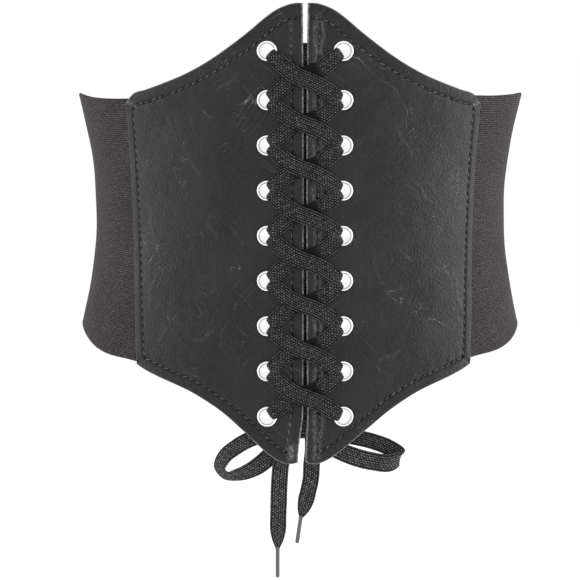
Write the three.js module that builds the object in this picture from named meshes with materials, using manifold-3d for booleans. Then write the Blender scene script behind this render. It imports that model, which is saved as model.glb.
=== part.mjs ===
// Laced corset belt: two leather front panels on elastic side bands, closed by one flat lace.
// Millimetres, +Z up, the front faces -Y. The origin is the middle of the waist hollow.
import * as THREE from 'three';
import { mergeVertices } from 'three/addons/utils/BufferGeometryUtils.js';
import Module from 'manifold-3d';

const wasm = await Module();
wasm.setup();

// The waist that the belt closes round: an ellipse that widens upwards and downwards
const waistHalfWidth = 107.9;
const waistHalfDepth = 82;
const topFlare = { spread: 9.3, height: 64 };
const bottomFlare = { spread: 7.4, height: 58 };
const flarePower = 2.5;
const flareSettling = 0.6;
const depthFlare = { spread: 6, height: 118 };

// Walls and clearances
const elasticWall = 1.5;
const panelWall = 2.4;
const stripWall = 2.2;
const seatGap = 0.3;

// Front panels, lengths along the leather from the middle of the front
const panelSideTop = 60;
const panelPeak = 107.6;
const panelSideBottom = -77;
const panelTip = -125.8;
const panelTopReach = 99.9;
const panelBottomReach = 92.1;
const panelSideBow = 1.1;
const slitMiddleWidth = 1.2;
const slitPeakWidth = 2.9;
const slitTipWidth = 2.4;
const slitShift = 0.3;
const borderWidth = 5;
const borderRoll = 4;
const borderWallShare = 0.9;
const turnedEdgeShare = 0.75;

// A panel from slit to side: shares of its reach, of the rise to the peak and of the drop to the tip,
// and its wall as a share of the panel wall. The stay beside the slit stands up as a ridge.
const panelSections = [
  { across: 0, rise: 0.998, drop: 0.981, wall: 0.8 },
  { across: 0.03, rise: 1, drop: 0.995, wall: 1.25 },
  { across: 0.075, rise: 0.983, drop: 0.993, wall: 1.25 },
  { across: 0.1, rise: 0.965, drop: 0.977, wall: 1 },
  { across: 0.14, rise: 0.927, drop: 0.939, wall: 1 },
  { across: 0.2, rise: 0.84, drop: 0.862, wall: 1 },
  { across: 0.275, rise: 0.713, drop: 0.745, wall: 1 },
  { across: 0.365, rise: 0.573, drop: 0.61, wall: 1 },
  { across: 0.456, rise: 0.444, drop: 0.476, wall: 1 },
  { across: 0.552, rise: 0.33, drop: 0.361, wall: 1 },
  { across: 0.65, rise: 0.237, drop: 0.264, wall: 1 },
  { across: 0.75, rise: 0.164, drop: 0.19, wall: 1 },
  { across: 0.857, rise: 0.097, drop: 0.117, wall: 1.05 },
  { across: 0.95, rise: 0.042, drop: 0.047, wall: 0.9 },
  { across: 1, rise: -0.05, drop: 0, wall: 0.75 },
];
const panelRows = 12;

// Elastic side bands, tucked behind the side edge of a panel and run round to the back
const elasticTuck = 9;
const elasticSideTop = 64;
const elasticSideBottom = -57.5;
const elasticInset = 0.4;
const elasticEndGap = 2;
const elasticRows = 10;

// A band from the panel's side edge to the middle of the back: shares of its length and of the climb
// of its two edges
const elasticSections = [
  { along: 0, topClimb: 0.22, bottomClimb: 0.07 },
  { along: 0.035, topClimb: 0.22, bottomClimb: 0.155 },
  { along: 0.09, topClimb: 0.31, bottomClimb: 0.3 },
  { along: 0.15, topClimb: 0.52, bottomClimb: 0.49 },
  { along: 0.22, topClimb: 0.87, bottomClimb: 0.78 },
  { along: 0.28, topClimb: 0.97, bottomClimb: 0.97 },
  { along: 0.34, topClimb: 0.7, bottomClimb: 1 },
  { along: 0.4, topClimb: 0.36, bottomClimb: 1 },
  { along: 0.46, topClimb: 0.15, bottomClimb: 1 },
  { along: 0.54, topClimb: 0.12, bottomClimb: 1 },
  { along: 0.64, topClimb: 0.12, bottomClimb: 1 },
  { along: 0.76, topClimb: 0.12, bottomClimb: 1 },
  { along: 0.88, topClimb: 0.12, bottomClimb: 1 },
  { along: 1, topClimb: 0.12, bottomClimb: 1 },
];

// Leather strip that joins the two bands in the middle of the back
const stripWidth = 34;
const stripOverhang = 1.5;
const stripColumns = 4;

// Eyelets
const eyeletRows = 9;
const eyeletReach = 19.3;
const eyeletTopMargin = 17;
const eyeletBottomMargin = 16.7;
const eyeletTopSpare = 1.8;
const flangeRadius = 5.1;
const flangeCrownRadius = 4.5;
const flangeThroatRadius = 3.2;
const flangeHeight = 0.8;
const rollRadius = 4.4;
const rollHeight = 0.6;
const barrelRadius = 3.1;
const boreRadius = 1.9;
const eyeletSides = 10;
const postSides = 6;

// Flat braided lace
const laceWidth = 8.4;
const laceThickness = 1.2;
const laceThroatWidth = 5.6;
const laceCrossingShare = 0.22;
const rearFan = 3;
const tailReach = 7.6;
const tailRise = 5.2;
const tailDepth = 2.2;
const laceSteps = 6;
const rearSteps = 4;

// Bow behind the tips of the panels
const knotDrop = 4.4;
const knotDepth = 6.8;
const knotHalfSize = [6.8, 3, 7.4];
const knotPower = 4;
const agletRadius = 0.95;
const agletSides = 8;

// Free lace, set out from the middle of the knot: points chosen along its middle, and the way in which
// its width lies there
const leftLoopRoute = [
  { x: -7.2, y: -1.8, z: -3.8, wx: 0, wy: 0, wz: 1 },
  { x: -15.2, y: -1, z: -4, wx: -0.1, wy: 0, wz: 1 },
  { x: -23.9, y: 0.4, z: -6.4, wx: -0.37, wy: 0.1, wz: 0.93 },
  { x: -35.1, y: 2.2, z: -12.2, wx: -0.53, wy: 0.3, wz: 0.85 },
  { x: -41.6, y: 3.4, z: -18, wx: -0.7, wy: 0.55, wz: 0.47 },
  { x: -43.5, y: 4.2, z: -23.2, wx: -0.6, wy: 0.8, wz: 0 },
  { x: -40.3, y: 4.9, z: -27, wx: -0.3, wy: 0.85, wz: -0.42 },
  { x: -33.9, y: 5, z: -26.6, wx: 0.22, wy: 0.66, wz: -0.72 },
  { x: -25.4, y: 4.2, z: -23.1, wx: 0.47, wy: 0.3, wz: -0.82 },
  { x: -17.5, y: 3.2, z: -16.7, wx: 0.6, wy: 0, wz: -0.8 },
  { x: -11.3, y: 2.6, z: -10.6, wx: 0.55, wy: 0, wz: -0.85 },
  { x: -6.4, y: 1.8, z: -6.4, wx: 0.45, wy: 0, wz: -0.9 },
];
const rightLoopRoute = [
  { x: 6.7, y: 1.5, z: -4.2, wx: 0, wy: 0, wz: 1 },
  { x: 14.7, y: 4.8, z: -5.2, wx: 0.1, wy: 0, wz: 1 },
  { x: 24.7, y: 8.2, z: -7.2, wx: 0.15, wy: 0, wz: 1 },
  { x: 35.7, y: 10, z: -9.8, wx: 0.2, wy: 0, wz: 1 },
  { x: 43.7, y: 9.5, z: -12.8, wx: 0.3, wy: 0, wz: 1 },
  { x: 47.7, y: 6.1, z: -16, wx: 0.4, wy: 0, wz: 0.92 },
  { x: 43.2, y: 2.4, z: -19, wx: 0.2, wy: 0, wz: 1 },
  { x: 32.7, y: 0.6, z: -18.9, wx: 0.12, wy: 0, wz: 1 },
  { x: 23.1, y: -0.3, z: -16.2, wx: 0.3, wy: 0, wz: 0.95 },
  { x: 15.2, y: -1, z: -12.6, wx: 0.4, wy: 0, wz: 0.92 },
  { x: 6, y: -1.2, z: -6.6, wx: 0.45, wy: 0, wz: 0.9 },
];
const leftEndRoute = [
  { x: -3.7, y: 0.1, z: -7.9, wx: 1, wy: 0, wz: -0.5 },
  { x: -6.5, y: -0.3, z: -11.6, wx: 1, wy: 0, wz: -0.5 },
  { x: -9.9, y: -1, z: -15.6, wx: 1, wy: 0, wz: -0.45 },
  { x: -12.1, y: -1.1, z: -20.4, wx: 1, wy: 0, wz: -0.25 },
  { x: -12.8, y: -0.2, z: -27, wx: 1, wy: 0, wz: 0 },
  { x: -13.2, y: -0.2, z: -35, wx: 1, wy: 0, wz: 0 },
  { x: -13.4, y: -0.2, z: -42, wx: 1, wy: 0, wz: 0 },
  { x: -13.6, y: -0.2, z: -49, wx: 1, wy: 0, wz: 0 },
  { x: -13.7, y: -0.2, z: -55.5, wx: 1, wy: 0, wz: 0 },
  { x: -13.8, y: -0.2, z: -60.5, wx: 1, wy: 0, wz: 0 },
  { x: -13.9, y: -0.2, z: -64.3, wx: 1, wy: 0, wz: 0 },
];
const rightEndRoute = [
  { x: 1.8, y: 4, z: 2, wx: 1, wy: 0, wz: 0 },
  { x: 1.8, y: 4.1, z: -3.5, wx: 1, wy: 0, wz: 0 },
  { x: 2, y: 3.3, z: -9, wx: 1, wy: 0, wz: 0 },
  { x: 2.9, y: 0.9, z: -14.5, wx: 1, wy: 0, wz: 0 },
  { x: 3.5, y: -0.5, z: -20.5, wx: 1, wy: 0, wz: 0.1 },
  { x: 3.1, y: -0.7, z: -28, wx: 1, wy: 0, wz: 0.15 },
  { x: 1.9, y: -0.7, z: -34, wx: 1, wy: 0, wz: 0.25 },
  { x: 0.4, y: -0.7, z: -40, wx: 1, wy: 0, wz: 0.28 },
  { x: -0.9, y: -0.7, z: -44.4, wx: 1, wy: 0, wz: 0.3 },
  { x: -2.1, y: -0.7, z: -48.3, wx: 1, wy: 0, wz: 0.3 },
];
const leftAgletTip = [-13.9, -0.2, -79];
const rightAgletTip = [-4, -0.7, -61.3];
const loopSteps = 22;
const endSteps = 12;

// How a lace end narrows into its aglet: share of its length, share of the lace width
const endTaper = [
  { along: 0, width: 1 },
  { along: 0.84, width: 1 },
  { along: 0.93, width: 0.68 },
  { along: 1, width: 0.22 },
];

// Derived sizes
const faceOffset = elasticWall + seatGap + panelWall;
const panelInnerOffset = elasticWall + seatGap;
const holeRadius = barrelRadius + seatGap;
const postRadius = boreRadius - seatGap;
const stayRidge = panelWall * (Math.max(...panelSections.map((row) => row.wall)) - 1);
const laceOnFlange = faceOffset + seatGap + flangeHeight + seatGap + laceThickness / 2;
const laceUnder = faceOffset + stayRidge + seatGap + laceThickness / 2;
const laceOver = laceUnder + laceThickness + seatGap;
const rearOuter = panelInnerOffset - seatGap - rollHeight - seatGap - laceThickness / 2;
const rearInner = rearOuter - laceThickness - seatGap;

const { lerp, smoothstep } = THREE.MathUtils;

function readTable(table, key, at, column) {
  const last = table.length - 1;
  if (at <= table[0][key]) return table[0][column];
  for (let i = 0; i < last; i++) {
    const from = table[i];
    const to = table[i + 1];
    if (at <= to[key]) return lerp(from[column], to[column], (at - from[key]) / (to[key] - from[key]));
  }
  return table[last][column];
}

// The waist form: half axes at a height, then a point on it by its distance round from the front
function halfAxes(z) {
  const flare = z > 0 ? topFlare : bottomFlare;
  const climb = Math.abs(z / flare.height) ** flarePower;
  const share = ((1 + flareSettling) * climb) / (1 + flareSettling * climb);
  return {
    wide: waistHalfWidth + flare.spread * share + faceOffset,
    deep: waistHalfDepth + depthFlare.spread * (z / depthFlare.height) ** 2 + faceOffset,
  };
}

const arcSteps = 240;
const arcsByHeight = new Map();

function arcsAt(z) {
  const key = z.toFixed(3);
  if (!arcsByHeight.has(key)) {
    const { wide, deep } = halfAxes(z);
    const arcs = [0];
    for (let i = 1; i <= arcSteps; i++) {
      const angle = ((i - 0.5) * 2 * Math.PI) / arcSteps;
      const speed = Math.hypot(wide * Math.cos(angle), deep * Math.sin(angle));
      arcs.push(arcs[i - 1] + (speed * 2 * Math.PI) / arcSteps);
    }
    arcsByHeight.set(key, arcs);
  }
  return arcsByHeight.get(key);
}

function angleRound(distance, z) {
  const arcs = arcsAt(z);
  const reach = Math.abs(distance);
  let i = 1;
  while (i < arcSteps && arcs[i] < reach) i++;
  const share = (reach - arcs[i - 1]) / (arcs[i] - arcs[i - 1]);
  return (Math.sign(distance) * (i - 1 + share) * 2 * Math.PI) / arcSteps;
}

function halfGirth(z) {
  return arcsAt(z)[arcSteps / 2];
}

// A point `distance` round from the middle of the front, at height z and `offset` off the waist
function beltPoint(distance, z, offset) {
  const { wide, deep } = halfAxes(z);
  const angle = angleRound(distance, z);
  const point = new THREE.Vector3(wide * Math.sin(angle), -deep * Math.cos(angle), z);
  const outward = new THREE.Vector3(Math.sin(angle) / wide, -Math.cos(angle) / deep, 0).normalize();
  return point.addScaledVector(outward, offset - faceOffset);
}

// The directions along, up and out of the belt at a place on it
function beltFrame(distance, z, offset) {
  const step = 0.5;
  const across = beltPoint(distance + step, z, offset).sub(beltPoint(distance - step, z, offset));
  const up = beltPoint(distance, z + step, offset).sub(beltPoint(distance, z - step, offset));
  const outward = across.clone().cross(up).normalize();
  return { point: beltPoint(distance, z, offset), across: across.normalize(), outward };
}

// A box whose grid of corners is moved to the places that `place` gives for three grid numbers
function shapedBox(columns, rows, layers, place) {
  const geometry = new THREE.BoxGeometry(1, 1, 1, columns, rows, layers);
  const corners = geometry.getAttribute('position');
  for (let i = 0; i < corners.count; i++) {
    const column = Math.round((corners.getX(i) + 0.5) * columns);
    const row = Math.round((corners.getY(i) + 0.5) * rows);
    const layer = Math.round((corners.getZ(i) + 0.5) * layers);
    const point = place(column, row, layer);
    corners.setXYZ(i, point.x, point.y, point.z);
  }
  return closed(geometry);
}

// Shared corners are merged, and a mirrored shape gets its faces turned outwards again
function closed(geometry) {
  geometry.deleteAttribute('normal');
  geometry.deleteAttribute('uv');
  const merged = mergeVertices(geometry, 1e-4);
  const corner = merged.getAttribute('position');
  const index = merged.getIndex().array;
  const [a, b, c] = [new THREE.Vector3(), new THREE.Vector3(), new THREE.Vector3()];
  let volume = 0;
  for (let i = 0; i < index.length; i += 3) {
    a.fromBufferAttribute(corner, index[i]);
    b.fromBufferAttribute(corner, index[i + 1]);
    c.fromBufferAttribute(corner, index[i + 2]);
    volume += a.dot(b.cross(c));
  }
  if (volume < 0) {
    for (let i = 0; i < index.length; i += 3) {
      [index[i], index[i + 1]] = [index[i + 1], index[i]];
    }
  }
  return merged;
}

function toSolid(geometry) {
  const vertProperties = new Float32Array(geometry.getAttribute('position').array);
  const triVerts = new Uint32Array(geometry.getIndex().array);
  return new wasm.Manifold(new wasm.Mesh({ numProp: 3, vertProperties, triVerts }));
}

function toGeometry(solid) {
  const { vertProperties, triVerts } = solid.getMesh();
  const geometry = new THREE.BufferGeometry();
  geometry.setAttribute('position', new THREE.BufferAttribute(vertProperties, 3));
  geometry.setIndex(new THREE.BufferAttribute(triVerts, 1));
  geometry.computeVertexNormals();
  return geometry;
}

// Places of the eyelets: evenly down the panel, with a little more below the top one
function eyeletHeight(row) {
  const top = panelEdges(eyeletReach / panelTopReach).top - eyeletTopMargin;
  const bottom = panelEdges(eyeletReach / panelBottomReach).bottom + eyeletBottomMargin;
  const pitch = (top - bottom - eyeletTopSpare) / (eyeletRows - 1);
  return row === 0 ? top : top - eyeletTopSpare - row * pitch;
}

function eyeletDistance(side) {
  return slitShift + side * eyeletReach;
}

// The middle of the bow's knot, below the lowest eyelets and behind the leather
function knotMiddle() {
  return beltPoint(slitShift, eyeletHeight(eyeletRows - 1) - knotDrop, panelInnerOffset - knotDepth);
}

// Stands a shape made about +Y on the belt at an eyelet, its +Y facing out of the leather
function standAtEyelet(geometry, side, row, offset) {
  const { point, across, outward } = beltFrame(eyeletDistance(side), eyeletHeight(row), offset);
  const basis = new THREE.Matrix4().makeBasis(across, outward, across.clone().cross(outward));
  return geometry.applyMatrix4(basis.setPosition(point));
}

// Front panel: its edges at a share across, its side edge at a height, and its wall
function panelEdges(across) {
  const rise = readTable(panelSections, 'across', across, 'rise');
  const drop = readTable(panelSections, 'across', across, 'drop');
  return {
    top: lerp(panelSideTop, panelPeak, rise),
    bottom: lerp(panelSideBottom, panelTip, drop),
  };
}

function slitHalf(z) {
  const [endWidth, endHeight] = z > 0 ? [slitPeakWidth, panelPeak] : [slitTipWidth, panelTip];
  return lerp(slitMiddleWidth, endWidth, (z / endHeight) ** 2) / 2;
}

function panelSideReach(z) {
  const share = THREE.MathUtils.clamp((z - panelSideBottom) / (panelSideTop - panelSideBottom), 0, 1);
  return lerp(panelBottomReach, panelTopReach, share) + panelSideBow * 4 * share * (1 - share);
}

function panelRowHeight(row, bottom, top) {
  const steps = [0, borderWidth, borderWidth + borderRoll];
  const last = steps.length - 1;
  if (row <= last) return bottom + steps[row];
  if (row >= panelRows - last) return top - steps[panelRows - row];
  return lerp(bottom + steps[last], top - steps[last], (row - last) / (panelRows - 2 * last));
}

function panelWallAt(sectionWall, row) {
  const fromEdge = Math.min(row, panelRows - row);
  const edgeShares = [turnedEdgeShare, borderWallShare];
  return panelWall * Math.min(sectionWall, edgeShares[fromEdge] ?? sectionWall);
}

function frontPanel(side) {
  const place = (column, row, layer) => {
    const section = panelSections[column];
    const { top, bottom } = panelEdges(section.across);
    const z = panelRowHeight(row, bottom, top);
    const reach = lerp(slitHalf(z), panelSideReach(z), section.across);
    const offset = panelInnerOffset + layer * panelWallAt(section.wall, row);
    return beltPoint(slitShift + side * reach, z, offset);
  };
  let panel = toSolid(shapedBox(panelSections.length - 1, panelRows, 1, place));
  for (let row = 0; row < eyeletRows; row++) {
    const drill = closed(new THREE.CylinderGeometry(holeRadius, holeRadius, 4 * panelWall, eyeletSides));
    panel = panel.subtract(toSolid(standAtEyelet(drill, side, row, faceOffset)));
  }
  return toGeometry(panel);
}

// Elastic side band
function bandEdges(section) {
  return {
    top: lerp(panelSideTop, elasticSideTop, section.topClimb),
    bottom: lerp(panelSideBottom + elasticInset, elasticSideBottom, section.bottomClimb),
  };
}

function elasticBand(side) {
  const columns = elasticSections.length;
  const place = (column, row, layer) => {
    const section = elasticSections[Math.max(column - 1, 0)];
    const { top, bottom } = bandEdges(section);
    const z = lerp(bottom, top, row / elasticRows);
    const start = panelSideReach(z);
    const end = halfGirth(z) - elasticEndGap / 2;
    const distance = column === 0 ? start - elasticTuck : lerp(start, end, section.along);
    return beltPoint(side * distance + slitShift * (1 - section.along), z, layer * elasticWall);
  };
  return shapedBox(columns, elasticRows, 1, place);
}

// Strip over the ends of the two bands in the middle of the back
function backStrip() {
  const { top, bottom } = bandEdges(elasticSections.at(-1));
  const place = (column, row, layer) => {
    const share = row / elasticRows;
    const z = lerp(bottom - stripOverhang, top + stripOverhang, share);
    const distance = halfGirth(z) + stripWidth * (column / stripColumns - 0.5);
    return beltPoint(distance, z, elasticWall + seatGap + layer * stripWall);
  };
  return shapedBox(stripColumns, elasticRows, 1, place);
}

// Eyelet: a flange on the face, a barrel through the hole with a bore like a funnel, and a roll on the back
function eyelet(side, row) {
  const front = seatGap;
  const back = -(panelWall + seatGap);
  const profile = [
    [boreRadius, back - rollHeight],
    [rollRadius, back],
    [barrelRadius, back],
    [barrelRadius, front],
    [flangeRadius, front],
    [flangeCrownRadius, front + flangeHeight],
    [flangeThroatRadius, front + flangeHeight],
    [boreRadius, back - rollHeight],
  ].map(([radius, height]) => new THREE.Vector2(radius, height));
  return standAtEyelet(closed(new THREE.LatheGeometry(profile, eyeletSides)), side, row, faceOffset);
}

// A flat ribbon through stations that each hold a point, the way of its width, and its width
function ribbon(stations) {
  const last = stations.length - 1;
  const place = (column, row, layer) => {
    const { point, wide, width } = stations[column];
    const before = stations[Math.max(column - 1, 0)].point;
    const after = stations[Math.min(column + 1, last)].point;
    const ahead = after.clone().sub(before).normalize();
    const flat = wide.clone().addScaledVector(ahead, -wide.dot(ahead)).normalize();
    const thick = ahead.clone().cross(flat).normalize();
    return point.clone()
      .addScaledVector(flat, (row - 0.5) * width)
      .addScaledVector(thick, (layer - 0.5) * laceThickness);
  };
  return shapedBox(last, 1, 1, place);
}

// A stretch of lace on the belt between two places, its offset and width given by its share
function laceStretch(from, to, steps, offsetAt, widthAt, shiftAt) {
  const stations = [];
  for (let i = 0; i <= steps; i++) {
    const share = i / steps;
    const distance = lerp(from.distance, to.distance, share);
    const z = lerp(from.z, to.z, share) + shiftAt(share);
    const { point, across, outward } = beltFrame(distance, z, offsetAt(share));
    const up = outward.clone().cross(across);
    const slope = (to.z - from.z) / (to.distance - from.distance);
    const wide = up.addScaledVector(across, -slope);
    stations.push({ point, wide, width: widthAt(share) });
  }
  return toSolid(ribbon(stations));
}

function eyeletPlace(side, row) {
  return { distance: eyeletDistance(side), z: eyeletHeight(row) };
}

const noShift = () => 0;

// One crossing of the lace over the face, from an eyelet to the next lower one on the other side
function faceStretch(side, row, middleOffset) {
  const offsetAt = (share) => {
    const fromMiddle = Math.abs(share - 0.5);
    return lerp(middleOffset, laceOnFlange, smoothstep(fromMiddle, laceCrossingShare, 0.4));
  };
  const widthAt = (share) => {
    const fromEnd = Math.min(share, 1 - share);
    return lerp(laceThroatWidth, laceWidth, smoothstep(fromEnd, 0, 0.12));
  };
  const from = eyeletPlace(side, row);
  const to = eyeletPlace(-side, row + 1);
  return laceStretch(from, to, laceSteps, offsetAt, widthAt, noShift);
}

// The lace behind one row of eyelets, bowed up or down where it crosses the slit
function rearStretch(row, offset, fan) {
  const widthAt = (share) => {
    const fromEnd = Math.min(share, 1 - share);
    return lerp(laceThroatWidth, laceWidth, smoothstep(fromEnd, 0, 0.25));
  };
  const shiftAt = (share) => fan * 4 * share * (1 - share);
  return laceStretch(eyeletPlace(-1, row), eyeletPlace(1, row), rearSteps, () => offset, widthAt, shiftAt);
}

// The lace from one of the lowest eyelets to the side of the knot
function tail(side, row) {
  const offsetAt = (share) => lerp(rearOuter, rearOuter - tailDepth, share);
  const widthAt = (share) => lerp(laceThroatWidth, laceWidth, smoothstep(share, 0, 0.5));
  const to = { distance: slitShift + side * tailReach, z: knotMiddle().z + tailRise };
  return laceStretch(eyeletPlace(side, row), to, rearSteps, offsetAt, widthAt, noShift);
}

// The lace inside an eyelet
function post(side, row) {
  const length = laceOnFlange - rearInner;
  const middle = (laceOnFlange + rearInner) / 2;
  const cylinder = closed(new THREE.CylinderGeometry(postRadius, postRadius, length, postSides));
  return toSolid(standAtEyelet(cylinder, side, row, middle));
}

// The whole laced stretch: one lace whose middle lies behind the top row
function lace() {
  const lastRow = eyeletRows - 1;
  let whole = rearStretch(0, rearOuter, 0);
  for (let row = 0; row < lastRow; row++) {
    whole = whole.add(faceStretch(-1, row, laceOver)).add(faceStretch(1, row, laceUnder));
  }
  for (let row = 1; row < lastRow; row++) {
    whole = whole.add(rearStretch(row, rearOuter, rearFan)).add(rearStretch(row, rearInner, -rearFan));
  }
  for (const side of [-1, 1]) {
    for (let row = 0; row < eyeletRows; row++) whole = whole.add(post(side, row));
    whole = whole.add(tail(side, lastRow));
  }
  return toGeometry(whole);
}

// A free stretch of lace along a route of chosen points
function freeLace(route, steps, widthAt) {
  const knot = knotMiddle();
  const curve = new THREE.CatmullRomCurve3(
    route.map(({ x, y, z }) => new THREE.Vector3(x, y, z).add(knot)),
  );
  const stations = [];
  for (let i = 0; i <= steps; i++) {
    const share = i / steps;
    const place = share * (route.length - 1);
    const near = route[Math.floor(place)];
    const next = route[Math.min(Math.floor(place) + 1, route.length - 1)];
    const blend = place - Math.floor(place);
    const wide = new THREE.Vector3(near.wx, near.wy, near.wz)
      .lerp(new THREE.Vector3(next.wx, next.wy, next.wz), blend);
    stations.push({ point: curve.getPoint(share), wide, width: widthAt(share) });
  }
  return ribbon(stations);
}

function bowLoop(route) {
  return freeLace(route, loopSteps, () => laceWidth);
}

function laceEnd(route) {
  return freeLace(route, endSteps, (share) => laceWidth * readTable(endTaper, 'along', share, 'width'));
}

function bowKnot() {
  const knot = closed(new THREE.SphereGeometry(1, 10, 6));
  const corners = knot.getAttribute('position');
  for (let i = 0; i < corners.count; i++) {
    const [x, y, z] = [corners.getX(i), corners.getY(i), corners.getZ(i)];
    const bulge = (x ** knotPower + y ** knotPower + z ** knotPower) ** (-1 / knotPower);
    corners.setXYZ(i, x * bulge, y * bulge, z * bulge);
  }
  knot.scale(...knotHalfSize);
  return knot.translate(...knotMiddle());
}

// An aglet from just under the end of its lace to its own tip
function aglet(route, tip) {
  const last = route[route.length - 1];
  const from = new THREE.Vector3(last.x, last.y, last.z).add(knotMiddle());
  const ahead = new THREE.Vector3(...tip).add(knotMiddle()).sub(from);
  const length = ahead.length() - seatGap;
  const tube = closed(new THREE.CylinderGeometry(agletRadius, agletRadius, length, agletSides));
  ahead.normalize();
  tube.applyQuaternion(new THREE.Quaternion().setFromUnitVectors(new THREE.Vector3(0, 1, 0), ahead));
  const middle = from.addScaledVector(ahead, seatGap + length / 2);
  return tube.translate(middle.x, middle.y, middle.z);
}

// Materials
const leather = { color: 0x3a3a3b, roughness: 0.5, metalness: 0 };
const elastic = { color: 0x4a4344, roughness: 0.9, metalness: 0 };
const braid = { color: 0x262626, roughness: 0.85, metalness: 0 };
const nickel = { color: 0xe2e2e4, roughness: 0.2, metalness: 1 };
const greyPlastic = { color: 0x6b6b6b, roughness: 0.45, metalness: 0 };

const belt = new THREE.Group();
belt.name = 'corset_belt';

function addPiece(name, geometry, finish) {
  if (!geometry.getAttribute('normal')) geometry.computeVertexNormals();
  const piece = new THREE.Mesh(geometry, new THREE.MeshStandardMaterial(finish));
  piece.name = name;
  belt.add(piece);
}

const sides = [['left', -1], ['right', 1]];
for (const [name, side] of sides) {
  addPiece(`${name}_front_panel`, frontPanel(side), leather);
  addPiece(`${name}_elastic_band`, elasticBand(side), elastic);
  for (let row = 0; row < eyeletRows; row++) {
    addPiece(`${name}_eyelet_${row + 1}`, eyelet(side, row), nickel);
  }
}
addPiece('back_closure_strip', backStrip(), leather);
addPiece('lace', lace(), braid);
addPiece('bow_knot', bowKnot(), braid);
addPiece('left_bow_loop', bowLoop(leftLoopRoute), braid);
addPiece('right_bow_loop', bowLoop(rightLoopRoute), braid);
addPiece('left_lace_end', laceEnd(leftEndRoute), braid);
addPiece('right_lace_end', laceEnd(rightEndRoute), braid);
addPiece('left_aglet', aglet(leftEndRoute, leftAgletTip), greyPlastic);
addPiece('right_aglet', aglet(rightEndRoute, rightAgletTip), greyPlastic);

export default belt;
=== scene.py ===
"""Looks of a laced corset belt: faux leather front panels, ribbed elastic sides and one flat black lace.

Sizes are in millimetres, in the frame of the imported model: +Z up, the front faces -Y.
"""

import bpy
import numpy as np
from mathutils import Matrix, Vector


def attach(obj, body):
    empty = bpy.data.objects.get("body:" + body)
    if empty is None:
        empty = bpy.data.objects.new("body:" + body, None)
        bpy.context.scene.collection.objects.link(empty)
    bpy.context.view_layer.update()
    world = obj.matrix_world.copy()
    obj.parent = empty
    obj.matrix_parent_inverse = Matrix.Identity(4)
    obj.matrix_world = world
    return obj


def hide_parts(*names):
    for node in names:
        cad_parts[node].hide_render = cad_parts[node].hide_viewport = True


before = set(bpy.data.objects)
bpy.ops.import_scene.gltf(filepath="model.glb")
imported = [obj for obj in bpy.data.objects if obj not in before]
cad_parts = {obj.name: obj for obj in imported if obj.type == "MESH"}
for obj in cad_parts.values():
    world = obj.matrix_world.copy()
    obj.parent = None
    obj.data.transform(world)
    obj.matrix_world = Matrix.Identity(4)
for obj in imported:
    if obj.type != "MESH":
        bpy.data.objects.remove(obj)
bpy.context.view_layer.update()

MM = 0.001
BODY = "root"

# Waist form that the belt closes round
WAIST_HALF_WIDTH = 107.9
WAIST_HALF_DEPTH = 82.0
FLARE_POWER = 2.5
FLARE_SETTLING = 0.6
TOP_FLARE = {"spread": 9.3, "height": 64.0}
BOTTOM_FLARE = {"spread": 7.4, "height": 58.0}
DEPTH_FLARE = {"spread": 6.0, "height": 118.0}

# Walls, as offsets from the waist
ELASTIC_WALL = 1.5
SEAT_GAP = 0.3
PANEL_WALL = 2.4
STRIP_WALL = 2.2
PANEL_INNER = ELASTIC_WALL + SEAT_GAP
PANEL_FACE = PANEL_INNER + PANEL_WALL

# Front panels
PANEL_SIDE_TOP = 60.0
PANEL_PEAK = 107.6
PANEL_SIDE_BOTTOM = -77.0
PANEL_TIP = -125.8
PANEL_TOP_REACH = 99.9
PANEL_BOTTOM_REACH = 92.1
PANEL_SIDE_BOW = 1.1
SLIT_MIDDLE = 1.2
# The model says 2.9 mm, and 2.4 mm is nearer to the real belt
SLIT_PEAK = 2.4
SLIT_TIP = 2.4
SLIT_SHIFT = 0.3
SECTION_ACROSS = (0, 0.03, 0.075, 0.1, 0.14, 0.2, 0.275, 0.365, 0.456, 0.552, 0.65, 0.75, 0.857, 0.95, 1)
SECTION_RISE = (0.998, 1, 0.983, 0.965, 0.927, 0.84, 0.713, 0.573, 0.444, 0.33, 0.237, 0.164, 0.097, 0.042,
                -0.05)
SECTION_DROP = (0.981, 0.995, 0.993, 0.977, 0.939, 0.862, 0.745, 0.61, 0.476, 0.361, 0.264, 0.19, 0.117,
                0.047, 0)

# Elastic bands
ELASTIC_TUCK = 9.0
ELASTIC_SIDE_TOP = 64.0
ELASTIC_SIDE_BOTTOM = -57.5
ELASTIC_INSET = 0.4
ELASTIC_END_GAP = 2.0
STRIP_WIDTH = 34.0
STRIP_OVERHANG = 1.5

# Eyelets
EYELET_ROWS = 9
EYELET_REACH = 19.3
EYELET_TOP = 83.44
EYELET_BOTTOM = -101.63
EYELET_TOP_SPARE = 1.8
HOLE_RADIUS = 3.4

# Flat lace
LACE_WIDTH = 8.4
LACE_THICKNESS = 1.2
# Yarns are about 0.6 mm apart, drawn at 1.05 mm so that they show
BRAID_PITCH = 1.05
BRAID_LENGTH = 1.5
BRAID_LEAN = 0.45
BRAID_UNEVENNESS = 0.09


def lerp(a, b, share):
    return a + (b - a) * share


def smoothstep(at, low, high):
    share = np.clip((at - low) / (high - low), 0, 1)
    return share * share * (3 - 2 * share)


def bell(at, middle, width):
    return np.exp(-(((at - middle) / width) ** 2))


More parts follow.
